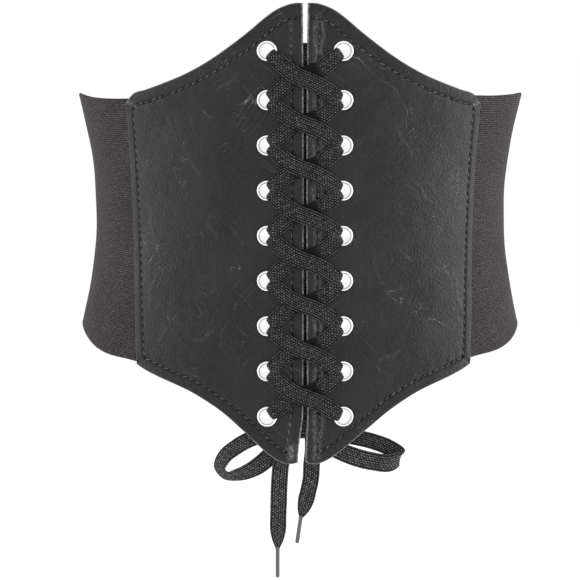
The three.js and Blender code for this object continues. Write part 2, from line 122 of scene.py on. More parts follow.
def smooth_table(xs, ys, at):
    """A table read on a smooth curve through its points; its values may be numbers or places."""
    xs, ys, at = np.asarray(xs, float), np.asarray(ys, float), np.asarray(at, float)
    slopes = np.gradient(ys, xs, axis=0)
    i = np.clip(np.searchsorted(xs, at, side="right") - 1, 0, len(xs) - 2)
    wide = (slice(None),) * at.ndim + (None,) * (ys.ndim - 1)
    step = (xs[i + 1] - xs[i])[wide]
    t = np.clip((at - xs[i]) / (xs[i + 1] - xs[i]), 0, 1)[wide]
    start = (2 * t**3 - 3 * t**2 + 1) * ys[i] + (t**3 - 2 * t**2 + t) * step * slopes[i]
    return start + (3 * t**2 - 2 * t**3) * ys[i + 1] + (t**3 - t**2) * step * slopes[i + 1]


def soft_waves(x, y, size, seed):
    """A gentle uneven height, about -1 to 1, with swells of about the given size."""
    draws = np.random.default_rng(seed)
    height = 0
    for _ in range(7):
        turn, shift = draws.uniform(0, 2 * np.pi, 2)
        pace = 2 * np.pi / (size * draws.uniform(0.7, 1.6))
        height = height + np.sin((x * np.cos(turn) + y * np.sin(turn)) * pace + shift)
    return height / 3.2


# The waist form: half axes at a height, and places on it by the distance round from the front

ARC_STEPS = 240
TURN = 2 * np.pi / ARC_STEPS
HEIGHTS = np.arange(-135.0, 116.0)
DISTANCES = np.arange(0.0, 345.0)


def half_axes(z):
    top = z > 0
    flare = np.where(top, TOP_FLARE["spread"], BOTTOM_FLARE["spread"])
    climb = np.abs(z / np.where(top, TOP_FLARE["height"], BOTTOM_FLARE["height"])) ** FLARE_POWER
    share = (1 + FLARE_SETTLING) * climb / (1 + FLARE_SETTLING * climb)
    wide = WAIST_HALF_WIDTH + flare * share + PANEL_FACE
    deep = WAIST_HALF_DEPTH + DEPTH_FLARE["spread"] * (z / DEPTH_FLARE["height"]) ** 2 + PANEL_FACE
    return wide, deep


def arcs_at(z):
    middles = (np.arange(ARC_STEPS) + 0.5) * TURN
    wide, deep = half_axes(z)
    pace = np.hypot(wide * np.cos(middles), deep * np.sin(middles))
    return np.concatenate([[0], np.cumsum(pace)]) * TURN


ARCS = np.array([arcs_at(z) for z in HEIGHTS])
ANGLES = np.array([np.interp(DISTANCES, arcs, np.arange(ARC_STEPS + 1) * TURN) for arcs in ARCS])


def angle_round(distance, z):
    """The angle round the waist form that lies a distance from the middle of the front."""
    row = np.clip(z - HEIGHTS[0], 0, len(HEIGHTS) - 1.001)
    column = np.clip(np.abs(distance), 0, len(DISTANCES) - 1.001)
    i, j = row.astype(int), column.astype(int)
    low = lerp(ANGLES[i, j], ANGLES[i, j + 1], column - j)
    high = lerp(ANGLES[i + 1, j], ANGLES[i + 1, j + 1], column - j)
    return np.sign(distance) * lerp(low, high, row - i)


def half_girth(z):
    return np.interp(z, HEIGHTS, ARCS[:, ARC_STEPS // 2])


def belt_places(distance, z, offset):
    """Places on the belt, with the directions round it and out of it there."""
    distance, z, offset = np.broadcast_arrays(*(np.asarray(v, float) for v in (distance, z, offset)))
    angle = angle_round(distance, z)
    wide, deep = half_axes(z)
    flat = np.zeros_like(z)
    out = np.stack([np.sin(angle) / wide, -np.cos(angle) / deep, flat], -1)
    out /= np.linalg.norm(out, axis=-1, keepdims=True)
    round_way = np.stack([-out[..., 1], out[..., 0], flat], -1)
    places = np.stack([wide * np.sin(angle), -deep * np.cos(angle), z], -1)
    return places + out * (offset - PANEL_FACE)[..., None], round_way, out


def unit(vectors):
    return vectors / np.linalg.norm(vectors, axis=-1, keepdims=True)


# Meshes

def new_piece(name, corners, faces, materials, slots=None, lay=None):
    """One object from corners in millimetres. lay gives two numbers that the materials read there."""
    mesh = bpy.data.meshes.new(name)
    mesh.from_pydata((np.asarray(corners) * MM).tolist(), [], faces)
    for material in materials:
        mesh.materials.append(material)
    if slots is not None:
        mesh.polygons.foreach_set("material_index", slots)
    mesh.shade_smooth()
    if lay is not None:
        corner_of_loop = np.empty(len(mesh.loops), np.int32)
        mesh.loops.foreach_get("vertex_index", corner_of_loop)
        layer = mesh.uv_layers.new(name="lay")
        layer.uv.foreach_set("vector", np.asarray(lay, np.float32)[corner_of_loop].ravel())
    mesh.update()
    piece = bpy.data.objects.new(name, mesh)
    bpy.context.scene.collection.objects.link(piece)
    return piece


def finish_piece(piece, slot, *nodes):
    """Makes a piece stand for the model's nodes and ride with the belt; its slot is not used."""
    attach(piece, BODY)
    if nodes:
        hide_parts(*nodes)
    return piece


def grid_faces(index):
    return np.stack([index[:-1, :-1], index[:-1, 1:], index[1:, 1:], index[1:, :-1]], -1)


def shell(name, front, back, materials, keep=None, lined=None, lay=None):
    """A closed sheet between two grids of corners, without the cells that keep leaves out."""
    rows, columns = front.shape[:2]
    count = rows * columns
    index = np.arange(count).reshape(rows, columns)
    if keep is None:
        keep = np.ones((rows - 1, columns - 1), bool)
    faces = grid_faces(index)[keep]
    edges = np.concatenate([faces[:, [k, (k + 1) % 4]] for k in range(4)])
    lone = ~np.isin(edges[:, 0] * count + edges[:, 1], edges[:, 1] * count + edges[:, 0])
    start, end = edges[lone].T
    walls = np.stack([end, start, start + count, end + count], -1)
    backs = (faces + count)[:, ::-1]
    slots = np.zeros(len(faces) + len(walls) + len(backs), np.int32)
    if lined is not None:
        slots[len(faces) + len(walls):] = lined[keep]
    corners = np.concatenate([front.reshape(-1, 3), back.reshape(-1, 3)])
    if lay is not None:
        lay = np.concatenate([lay.reshape(-1, 2)] * 2)
    used, renumbered = np.unique(np.concatenate([faces, walls, backs]), return_inverse=True)
    return new_piece(name, corners[used], renumbered.reshape(-1, 4).tolist(), materials, slots,
                     None if lay is None else lay[used])


def ring_faces(rings, points, first=0):
    """Faces of a tube between rings of points, closed by one face at each end."""
    index = first + np.arange(rings * points).reshape(rings, points)
    around = np.concatenate([index, index[:, :1]], 1)
    sides = grid_faces(around).reshape(-1, 4).tolist()
    return sides + [index[0, ::-1].tolist(), index[-1].tolist()]


# Materials

# The output of a node that mixes colours
MIXED = 2


def linear(colour):
    """An sRGB hex colour as the linear numbers that shaders take."""
    parts = [int(colour[i:i + 2], 16) / 255 for i in (1, 3, 5)]
    return [c / 12.92 if c <= 0.04045 else ((c + 0.055) / 1.055) ** 2.4 for c in parts] + [1.0]


def connect(tree, node, links):
    """Gives each of a node's inputs a value or another node's output."""
    for key, value in links.items():
        if isinstance(value, bpy.types.NodeSocket):
            tree.links.new(value, node.inputs[key])
        else:
            node.inputs[key].default_value = value


def add_node(tree, kind, links, output=0, **settings):
    """Adds one node with its settings and links, and returns the output that is asked for."""
    node = tree.nodes.new("ShaderNode" + kind)
    for key, value in settings.items():
        setattr(node, key, value)
    connect(tree, node, links)
    return node.outputs[output]


def new_material(name):
    """A material, its nodes, its shader, and the place on the object that patterns follow."""
    material = bpy.data.materials.new(name)
    material.use_nodes = True
    tree = material.node_tree
    return material, tree, tree.nodes["Principled BSDF"], add_node(tree, "TexCoord", {}, "Object")


def per(size):
    """The noise scale that gives features of a size in millimetres on an object in metres."""
    return 1 / (size * MM)


def span(low, high, to_low=0.0, to_high=1.0):
    """Settings that turn the values from low to high into those from to_low to to_high."""
    return {"From Min": low, "From Max": high, "To Min": to_low, "To Max": to_high}


def colours(share, first, second):
    """Settings of a colour mix: a share, and the colours at 0 and at 1, which may be outputs too."""
    ends = [linear(end) if isinstance(end, str) else end for end in (first, second)]
    return {0: share, 6: ends[0], 7: ends[1]}


def contour(tree, height, width):
    """1 where a noise passes its middle level, 0 from a width away: thin lines along its contours."""
    above = add_node(tree, "Math", {0: height, 1: 0.5}, operation="SUBTRACT")
    away = add_node(tree, "Math", {0: above}, operation="ABSOLUTE")
    return add_node(tree, "MapRange", {"Value": away, **span(0, width, 1, 0)})


def faux_leather():
    """Faux leather: a polyurethane film, embossed with a calf grain and calendered, on a knitted back.

    The film is near black and satin, with soft clouds of sheen painted lighter in its colour, fine
    wrinkles and, in patches, fine straight scratches. It is rubbed grey and smoother on its scratches.
    Along its edges, beside the slit and on the ridges of its creases and folds it is painted lighter and
    smoother: a painted highlight where they catch the light, with some rub wear on the creases.
    """
    material, tree, shader, place = new_material("black_embossed_faux_leather")
    lay = add_node(tree, "UVMap", {}, uv_map="lay")
    from_edge = add_node(tree, "SeparateXYZ", {"Vector": lay}, "X")
    # Y: how much lighter it is painted: rub wear, and painted highlights on the slit edge, crease ridges and
    # folds
    lightened = add_node(tree, "SeparateXYZ", {"Vector": lay}, "Y")

    cloud = add_node(tree, "TexNoise", {"Vector": place, "Scale": per(24), "Detail": 3})
    mottle = add_node(tree, "TexNoise", {"Vector": place, "Scale": per(1.3), "Detail": 4})
    # Soft clouds of painted sheen in the colour
    clouds = add_node(tree, "MapRange", {"Value": cloud, **span(0.35, 0.65, 0, 0.45)})
    specks = add_node(tree, "MapRange", {"Value": mottle, **span(0.3, 0.7, 0, 0.55)})
    tone = add_node(tree, "Math", {0: clouds, 1: specks}, operation="ADD")
    plain = add_node(tree, "Mix", colours(tone, "#060606", "#202021"), MIXED, data_type="RGBA")

    scratches = 0.0
    for turn, size in ((0.7, 4.0), (-0.85, 5.2)):
        along = {"Vector": place, "Rotation": (0, turn, 0), "Scale": (1, 1, 40)}
        drawn_out = add_node(tree, "Mapping", along, vector_type="TEXTURE")
        streaks = add_node(tree, "TexNoise", {"Vector": drawn_out, "Scale": per(size), "Detail": 0})
        patches = add_node(tree, "TexNoise", {"Vector": place, "Scale": per(14 + size), "Detail": 1})
        where = add_node(tree, "MapRange", {"Value": patches, **span(0.54, 0.7, 0, 0.8)})
        fine = {0: contour(tree, streaks, 0.008), 1: where}
        thin = add_node(tree, "Math", fine, operation="MULTIPLY")
        scratches = add_node(tree, "Math", {0: scratches, 1: thin}, operation="MAXIMUM")

    faint = add_node(tree, "Math", {0: scratches, 1: 0.6}, operation="MULTIPLY")
    rub_and_highlight = add_node(tree, "Math", {0: lightened, 1: faint}, operation="MAXIMUM")
    flecks = add_node(tree, "TexNoise", {"Vector": place, "Scale": per(1.4), "Detail": 3})
    broken = add_node(tree, "MapRange", {"Value": flecks, **span(0.42, 0.62, 0.25, 1)})
    rub_and_highlight = add_node(tree, "Math", {0: rub_and_highlight, 1: broken}, operation="MULTIPLY")
    # Painted highlight: lighter and smoother along every edge, where the rounding catches the light
    edge = add_node(tree, "MapRange", {"Value": from_edge, **span(0.1, 0.7, 0.6, 0)})
    uneven = add_node(tree, "MapRange", {"Value": mottle, **span(0.3, 0.6, 0.4, 1)})
    edge = add_node(tree, "Math", {0: edge, 1: uneven}, operation="MULTIPLY")
    worn_and_lit = add_node(tree, "Math", {0: rub_and_highlight, 1: edge}, operation="MAXIMUM")
    # a2a2a3 is the grey of the rub wear and of the painted highlights
    colour = add_node(tree, "Mix", colours(worn_and_lit, plain, "#a2a2a3"), MIXED, data_type="RGBA")

    both = add_node(tree, "Math", {0: cloud, 1: mottle}, operation="ADD")
    satin = add_node(tree, "MapRange", {"Value": both, **span(0.7, 1.3, 0.36, 0.52)})
    polish = add_node(tree, "Math", {0: worn_and_lit, 1: 0.15}, operation="MULTIPLY")
    roughness = add_node(tree, "Math", {0: satin, 1: polish}, operation="SUBTRACT")

    # Calf grain is about 0.5 mm, drawn at 1 mm so that it shows
    grain = {"Vector": place, "Scale": per(1.0), "Randomness": 1.0}
    pebbles = add_node(tree, "TexVoronoi", grain, "Distance", feature="SMOOTH_F1")
    grained = add_node(tree, "Bump", {"Height": pebbles, "Distance": 0.21 * MM})
    folds = {"Vector": place, "Scale": per(4.2), "Detail": 3, "Distortion": 1.0}
    wrinkles = contour(tree, add_node(tree, "TexNoise", folds), 0.03)
    wrinkled = add_node(tree, "Bump", {"Height": wrinkles, "Distance": 0.06 * MM, "Normal": grained})
    connect(tree, shader, {"Base Color": colour, "Roughness": roughness, "IOR": 1.38, "Normal": wrinkled})
    return material


def knit_lining():
    """Lining: black polyester knit, brushed. It is flat and dull, with rows of small loops."""
    material, tree, shader, place = new_material("black_knit_lining")
    mottle = add_node(tree, "TexNoise", {"Vector": place, "Scale": per(4), "Detail": 3})
    colour = add_node(tree, "Mix", colours(mottle, "#18181a", "#252527"), MIXED, data_type="RGBA")
    # Loops are about 0.7 mm apart, drawn at 1.1 mm so that they show
    rows = {"Vector": place, "Scale": per(1.1), "Randomness": 0.35}
    loops = add_node(tree, "TexVoronoi", rows, "Distance")
    knitted = add_node(tree, "Bump", {"Height": loops, "Distance": 0.2 * MM})
    connect(tree, shader, {"Base Color": colour, "Roughness": 0.85, "IOR": 1.5, "Sheen Weight": 0.15,
                           "Normal": knitted})
    return material


def ribbed_elastic():
    """Woven elastic: rubber cores wrapped in polyester. Brown black and matt; its rib crests painted lighter
    and flecked with painted highlights, with painted shade in the hollows between.
    """
    material, tree, shader, place = new_material("brown_black_woven_elastic")
    lay = add_node(tree, "UVMap", {}, uv_map="lay")
    ribs_up = add_node(tree, "SeparateXYZ", {"Vector": lay}, "X")
    turns = add_node(tree, "Math", {0: ribs_up, 1: 2 * np.pi}, operation="MULTIPLY")
    wave = add_node(tree, "Math", {0: turns}, operation="SINE")
    rib = add_node(tree, "MapRange", {"Value": wave, **span(-1, 1)})

    flecks = add_node(tree, "TexNoise", {"Vector": place, "Scale": per(0.8), "Detail": 3})
    # Painted highlight on the rib crests and painted shade in the hollows
    crests = add_node(tree, "MapRange", {"Value": rib, **span(0, 1, 0.1, 1)})
    specks = add_node(tree, "MapRange", {"Value": flecks, **span(0.38, 0.66, 0.1, 1)})
    light = add_node(tree, "Math", {0: crests, 1: specks}, operation="MULTIPLY")
    shades = add_node(tree, "TexNoise", {"Vector": place, "Scale": per(19)})
    shade = add_node(tree, "MapRange", {"Value": shades, **span(0.3, 0.7, 0.75, 1.0)})
    tone = add_node(tree, "Math", {0: light, 1: shade}, operation="MULTIPLY")
    colour = add_node(tree, "Mix", colours(tone, "#070506", "#5d5456"), MIXED, data_type="RGBA")

    woven = add_node(tree, "Bump", {"Height": flecks, "Distance": 0.2 * MM})
    ribbed = add_node(tree, "Bump", {"Height": rib, "Distance": 0.12 * MM, "Normal": woven})
    connect(tree, shader, {"Base Color": colour, "Roughness": 0.8, "IOR": 1.36, "Normal": ribbed})
    return material


def braided_polyester():
    """Braided lace: bright filament polyester, plaited flat. Painted shade black between the yarns, painted
    highlight grey where a yarn comes up, with flecks of painted glint.
    """
    material, tree, shader, place = new_material("black_braided_polyester")
    lay = add_node(tree, "UVMap", {}, uv_map="lay")
    crown = add_node(tree, "SeparateXYZ", {"Vector": lay}, "X")
    raised = add_node(tree, "MapRange", {"Value": crown, **span(0.35, 1)})
    yarn = add_node(tree, "TexNoise", {"Vector": place, "Scale": per(0.9), "Detail": 3})
    gleam = add_node(tree, "MapRange", {"Value": yarn, **span(0.38, 0.68, 0.15, 1)})
    light = add_node(tree, "Math", {0: raised, 1: gleam}, operation="MULTIPLY")
    # Painted shade between the yarns, painted highlight on their crowns
    colour = add_node(tree, "Mix", colours(light, "#030303", "#9a9a9b"), MIXED, data_type="RGBA")
    # Filaments are about 0.02 mm, drawn at 0.4 mm so that they show
    filaments = add_node(tree, "TexNoise", {"Vector": place, "Scale": per(0.4), "Detail": 1})
    fibrous = add_node(tree, "Bump", {"Height": filaments, "Distance": 0.06 * MM})
    # Open braid: its fibres have an IOR of 1.57, but the air between them takes most of the gloss
    connect(tree, shader, {"Base Color": colour, "Roughness": 0.6, "IOR": 1.57, "Specular IOR Level": 0.14,
                           "Normal": fibrous})
    return material


def bonded_thread():
    """Sewing thread: bonded nylon, dyed black. Smooth and a little shiny, so each stitch catches light."""
    material, tree, shader, place = new_material("black_bonded_nylon_thread")
    plies = add_node(tree, "TexNoise", {"Vector": place, "Scale": per(1.6), "Detail": 3})
    twist = add_node(tree, "MapRange", {"Value": plies, **span(0.35, 0.7)})
    colour = add_node(tree, "Mix", colours(twist, "#1e1e1f", "#727273"), MIXED, data_type="RGBA")
    connect(tree, shader, {"Base Color": colour, "Roughness": 0.4, "IOR": 1.53})
    return material


def nickel():
    """Eyelets: brass, pressed and nickel plated. Bright and almost white, with faint rub marks.

    The pressed groove in the flange is painted grey: a painted shadow line where the flange dips.
    """
    material, tree, shader, place = new_material("nickel_plated_brass")
    lay = add_node(tree, "UVMap", {}, uv_map="lay")
    groove = add_node(tree, "SeparateXYZ", {"Vector": lay}, "X")
    marks = add_node(tree, "TexNoise", {"Vector": place, "Scale": per(1.6), "Detail": 3})
    clean = add_node(tree, "Mix", colours(marks, "#f0f0f1", "#fbfbfb"), MIXED, data_type="RGBA")
    patchy = add_node(tree, "MapRange", {"Value": marks, **span(0.3, 0.6, 0.6, 1)})
    painted_groove_shadow = add_node(tree, "Math", {0: groove, 1: patchy}, operation="MULTIPLY")
    colour = add_node(tree, "Mix", colours(painted_groove_shadow, clean, "#6c6c6d"), MIXED, data_type="RGBA")
    roughness = add_node(tree, "MapRange", {"Value": marks, **span(0.3, 0.7, 0.2, 0.34)})
    connect(tree, shader, {"Base Color": colour, "Roughness": roughness, "Metallic": 1.0})
    return material


def acetate_film():
    """Aglets: grey acetate film, wound tight and heat set. Smooth, with a faint cloud in it."""
    material, tree, shader, place = new_material("grey_acetate_film")
    cloud = add_node(tree, "TexNoise", {"Vector": place, "Scale": per(2.5)})
    colour = add_node(tree, "Mix", colours(cloud, "#4a4a4a", "#5a5a5a"), MIXED, data_type="RGBA")
    connect(tree, shader, {"Base Color": colour, "Roughness": 0.38, "IOR": 1.48})
    return material


LEATHER = faux_leather()
LINING = knit_lining()
ELASTIC = ribbed_elastic()
BRAID = braided_polyester()
THREAD = bonded_thread()
NICKEL = nickel()
FILM = acetate_film()


# Camera, 1.5 m off, at the height of the waist and a touch to the left

CAMERA_TARGET = Vector((0, 0, -42)) * MM
CAMERA_AWAY = Vector((-0.0244, -0.9983, 0.0523)).normalized()
CAMERA_DISTANCE = 1500 * MM
LENS = 172.86
SENSOR_WIDTH = 36
SIDE_SHIFT = -0.01776


def stand_at(name, data, place, turn):
    """An object with a camera's or light's data, at a place and turned as the quaternion says."""
    stand = bpy.data.objects.new(name, data)
    stand.location = place
    stand.rotation_mode = "QUATERNION"
    stand.rotation_quaternion = turn
    bpy.context.scene.collection.objects.link(stand)
    return stand


def add_camera():
    camera = bpy.data.cameras.new("camera")
    camera.lens = LENS
    camera.sensor_width = SENSOR_WIDTH
    camera.shift_x = SIDE_SHIFT
    place = CAMERA_TARGET + CAMERA_AWAY * CAMERA_DISTANCE
    bpy.context.scene.camera = stand_at("camera", camera, place, (-CAMERA_AWAY).to_track_quat("-Z", "Y"))


add_camera()


# Flat lace: rings of corners round its middle

FINE_ACROSS = 30
PLAIN_ACROSS = 6
CREASE_LINES = (-2.1, 0, 2.1)
SELVEDGE_HEIGHT = 0.1
YARN_RELIEF = 0.26
REAR_RELIEF = 0.12
# Keeps the places along and across a lace above zero, so that the rows of the braid don't mirror there
BRAID_START = 50


def plaits(along, across):
    """Height of the yarns at a place on the braid: rows of short dashes, about 1 on one, 0 between."""
    row = np.floor(across / BRAID_PITCH)
    aside = across / BRAID_PITCH - row - 0.5
    lean = np.where(row % 2 == 0, BRAID_LEAN, -BRAID_LEAN)
    ahead = (along + lean * aside * BRAID_PITCH) / BRAID_LENGTH + 0.5 * (row % 2)
    uneven = 1 + BRAID_UNEVENNESS * np.sin(5.1 * row + 2.3 * np.round(ahead))
    return uneven * np.cos(np.pi * aside) ** 0.7 * np.abs(np.cos(np.pi * ahead)) ** 0.6


def lace_rings(centres, flat, thick, widths, along, fine_back, relief=YARN_RELIEF, folds=0.0):
    """Rings of a flat lace with its plaited face on the side of thick, and on both if fine_back.

    Also returns the height of the yarns at each corner.
    """
    back_count = FINE_ACROSS if fine_back else PLAIN_ACROSS
    front = np.linspace(-0.5, 0.5, FINE_ACROSS + 1)
    back = np.linspace(0.5, -0.5, back_count + 1)[1:-1]
    share = np.concatenate([front, back])
    side = np.concatenate([np.ones(len(front)), -np.ones(len(back))])
    across = share * LACE_WIDTH
    body = np.sqrt(np.clip(1 - np.abs(2 * share) ** 5, 0, 1))
    height = (LACE_THICKNESS / 2 - relief * 0.6) * body
    fine = np.where(side > 0, 1.0, 1.0 if fine_back else 0.0) * smoothstep(body, 0, 0.5)
    valleys = folds * sum(bell(across, line, 0.35) for line in CREASE_LINES)
    yarns = plaits(along[:, None] + BRAID_START, across[None, :]) * (1 - 2 * valleys)
    # A dark line, and outside it the light line of the selvedge: lower and higher in the relief, and in
    # colour a painted shadow and a painted highlight
    yarns = yarns * (1 - 0.8 * bell(np.abs(share), 0.41, 0.03))
    yarns = np.maximum(yarns, 0.85 * bell(np.abs(share), 0.475, 0.025))
    selvedge = bell(np.abs(share), 0.46, 0.03) * SELVEDGE_HEIGHT
    lift = side * (height + fine * (yarns * relief + selvedge - valleys))
    swell = 1 + 0.35 * (1 - widths / LACE_WIDTH)
    corners = centres[:, None] + flat[:, None] * (share * widths[:, None])[..., None]
    return corners + thick[:, None] * (lift * swell[:, None])[..., None], yarns


def lace_tube(rings):
    """Corners and outward faces of one lace."""
    corners = rings.reshape(-1, 3)
    faces = ring_faces(*rings.shape[:2])
    a, b, c = (corners[[face[k] for face in faces]] for k in (0, 1, 2))
    if np.einsum("ij,ij->i", a, np.cross(b, c)).sum() < 0:
        faces = [face[::-1] for face in faces]
    return corners, faces


def beside(first, second=0):
    """Two numbers for each corner, for the layer that the materials read."""
    return np.stack(np.broadcast_arrays(first, second), -1)


def joined_piece(name, parts, materials, crowns=None):
    """One object from several lists of corners and faces; crowns gives the yarn heights of each."""
    corners, faces = [], []
    for part_corners, part_faces in parts:
        first = sum(len(c) for c in corners)
        faces += [[first + corner for corner in face] for face in part_faces]
        corners.append(part_corners)
    lay = None if crowns is None else beside(np.concatenate([crown.ravel() for crown in crowns]))
    return new_piece(name, np.concatenate(corners), faces, materials, lay=lay)


# The bow: points chosen along each free lace, from the middle of the knot, and the way its width lies

KNOT_DROP = 4.4
KNOT_DEPTH = 6.8
KNOT_HALF_SIZE = np.array([6.8, 3.0, 7.4])
KNOT = belt_places(SLIT_SHIFT, EYELET_BOTTOM - KNOT_DROP, PANEL_INNER - KNOT_DEPTH)[0]
LEFT_LOOP_ROUTE = (
    (-7.2, -1.8, -3.8, 0, 0, 1), (-15.2, -1, -4, -0.1, 0, 1), (-23.9, 0.4, -6.4, -0.37, 0.1, 0.93),
    (-35.1, 2.2, -12.2, -0.53, 0.3, 0.85), (-41.6, 3.4, -18, -0.7, 0.55, 0.47),
    (-43.5, 4.2, -23.2, -0.6, 0.8, 0), (-40.3, 4.9, -27, -0.3, 0.85, -0.42),
    (-33.9, 5, -26.6, 0.22, 0.66, -0.72), (-25.4, 4.2, -23.1, 0.47, 0.3, -0.82),
    (-17.5, 3.2, -16.7, 0.6, 0, -0.8), (-11.3, 2.6, -10.6, 0.55, 0, -0.85), (-6.4, 1.8, -6.4, 0.45, 0, -0.9),
)
RIGHT_LOOP_ROUTE = (
    (6.7, 1.5, -4.2, 0, 0, 1), (14.7, 4.8, -5.4, 0.1, 0, 1), (24.7, 8.2, -7.6, 0.15, 0, 1),
    (35.7, 10, -10.4, 0.2, 0, 1), (44.2, 9.5, -13.8, 0.3, 0, 1), (49, 6.1, -17.6, 0.4, 0, 0.92),
    (44.8, 2.4, -20.2, 0.2, 0, 1), (33.2, 0.6, -19.2, 0.12, 0, 1), (23.1, -0.3, -16.2, 0.3, 0, 0.95),
    (15.2, -1, -12.6, 0.4, 0, 0.92), (6, -1.2, -6.6, 0.45, 0, 0.9),
)
LEFT_END_ROUTE = (
    (-6.6, 0.1, -6.9, 1, 0, -0.5), (-8.6, -0.3, -11.2, 1, 0, -0.5), (-10.7, -1, -15.6, 1, 0, -0.45),
    (-12.1, -1.1, -20.4, 1, 0, -0.25), (-12.8, -0.2, -27, 1, 0, 0), (-13.2, -0.2, -35, 1, 0, 0),
    (-13.4, -0.2, -42, 1, 0, 0), (-13.6, -0.2, -49, 1, 0, 0), (-13.7, -0.2, -55.5, 1, 0, 0),
    (-13.8, -0.2, -60.5, 1, 0, 0), (-13.9, -0.2, -64.3, 1, 0, 0),
)
RIGHT_END_ROUTE = (
    (3.4, 4, 2, 1, 0, 0), (4, 4.1, -3.5, 1, 0, 0), (4.3, 3.3, -9, 1, 0, 0), (4.2, 0.9, -14.5, 1, 0, 0),
    (3.5, -0.5, -20.5, 1, 0, 0.1), (3.1, -0.7, -28, 1, 0, 0.15), (1.9, -0.7, -34, 1, 0, 0.25),
    (0.4, -0.7, -40, 1, 0, 0.28), (-0.9, -0.7, -44.4, 1, 0, 0.3), (-2.1, -0.7, -48.3, 1, 0, 0.3),
)
LEFT_AGLET_TIP = (-13.9, -0.2, -79)
RIGHT_AGLET_TIP = (-4, -0.7, -61.3)
FREE_LACE_STEP = 0.42

# Aglets: distance from the end of the lace, or from the tip, and radius
AGLET_START = ((-1.2, 0.8), (-0.9, 1.08), (-0.5, 1.14), (0, 1.1), (0.5, 1.05), (2, 1.05))
AGLET_END = ((-1.6, 1.06), (-0.7, 1.02), (-0.25, 0.88), (-0.05, 0.55))
AGLET_RADIUS = 1.06
AGLET_TURNS = 32


def free_lace(name, route, taper):
    """A free stretch of lace along its route; returns the piece and its middle line in metres."""
    points = np.array([row[:3] for row in route]) + KNOT
    ways = np.array([row[3:] for row in route], float)
    chords = np.concatenate([[0], np.cumsum(np.linalg.norm(np.diff(points, axis=0), axis=1))])
    at = np.linspace(0, chords[-1], int(chords[-1] / FREE_LACE_STEP))
    centres = smooth_table(chords, points, at)
    ahead = unit(np.gradient(centres, axis=0))
    wide = smooth_table(chords, ways, at)
    flat = unit(wide - ahead * np.einsum("ij,ij->i", wide, ahead)[:, None])
    thick = np.cross(ahead, flat)
    widths = LACE_WIDTH * taper(at / at[-1])
    along = np.concatenate([[0], np.cumsum(np.linalg.norm(np.diff(centres, axis=0), axis=1))])
    rings, yarns = lace_rings(centres, flat, thick, widths, along, fine_back=True, folds=0.1)
    piece = joined_piece(name, [lace_tube(rings)], [BRAID], [yarns])
    return piece, centres * MM, along[-1] * MM


def loop_taper(share):
    """The near side of each bow loop lies open at its full width."""
    return smooth_table((0, 0.4, 0.6, 0.85, 1), (1, 1, 1.1, 1.1, 1), share)


def end_taper(share):
    return smooth_table((0, 0.7, 0.84, 0.93, 1), (1, 1, 0.96, 0.66, 0.22), share)


def aglet(name, route, tip):
    """A wound film tube from the gathered end of its lace to its own rounded tip."""
    start, end = np.array(route[-1][:3]) + KNOT, np.array(tip) + KNOT
    ahead = unit(end - start)
    side = unit(np.cross(ahead, (0.0, 1.0, 0.0)))
    other = np.cross(ahead, side)
    length = np.linalg.norm(end - start)
    turns = np.linspace(0, 2 * np.pi, AGLET_TURNS, endpoint=False)
    rim = np.cos(turns)[:, None] * side + np.sin(turns)[:, None] * other
    # The wrap of the film ends in a low seam
    rim = rim * (1 + 0.05 * bell(turns, 1.6, 0.25))[:, None]
    profile = [*AGLET_START, (length / 2, AGLET_RADIUS), *((length + at, r) for at, r in AGLET_END)]
    rings = [start + ahead * at + rim * radius for at, radius in profile]
    return new_piece(name, *lace_tube(np.array(rings)), [FILM])


ENDS = (("left", LEFT_END_ROUTE, LEFT_AGLET_TIP), ("right", RIGHT_END_ROUTE, RIGHT_AGLET_TIP))
for side, route, tip in ENDS:
    film = finish_piece(aglet(f"{side}_wound_aglet", route, tip), "grey_aglet", f"{side}_aglet")
    piece, middle, length = free_lace(f"{side}_hanging_end", route, end_taper)
    finish_piece(piece, "black_braid", f"{side}_lace_end")
for side, route in (("left", LEFT_LOOP_ROUTE), ("right", RIGHT_LOOP_ROUTE)):
    piece, middle, length = free_lace(f"{side}_loop_of_lace", route, loop_taper)
    finish_piece(piece, "black_braid", f"{side}_bow_loop")


# Front panels

# Distances in from an edge of the rows of corners beside it, closest at the edge and round the seam
EDGE_STEPS = np.array((0, 0.1, 0.3, 0.6, 1, 1.6, 2.4, 3.4, 4.4, 5.1, 5.6, 5.95, 6.25, 6.55, 6.85, 7.3, 8.1,
                       9.2))
MIDDLE_COLUMNS = 80
MIDDLE_ROWS = 190
PANEL_SPAN = 95.5
SLIT_DRIFT = {-1: 2.5, 1: -1.1}
TURNED_WALL = 1.9
SLIT_BORDER_WALL = 3.0
TURNED_BULGE = 0.22
FIELD_BULGE = 0.3
SEAM_DEPTH = 0.42
HOLE_DEPTH = 0.34
MITRE_DEPTH = 0.9
EDGE_RADIUS = 0.9
BOTTOM_SEAM = 6.0
SIDE_SEAM = 5.4
STAY_SEAM = 6.25
STAY_RIDGE = 0.45
STITCH_PITCH = 4.0
STITCH_LENGTH = 3.0
STITCH_SLANT = 0.2
THREAD_RADIUS = 0.28
LINING_INSET = 7.0

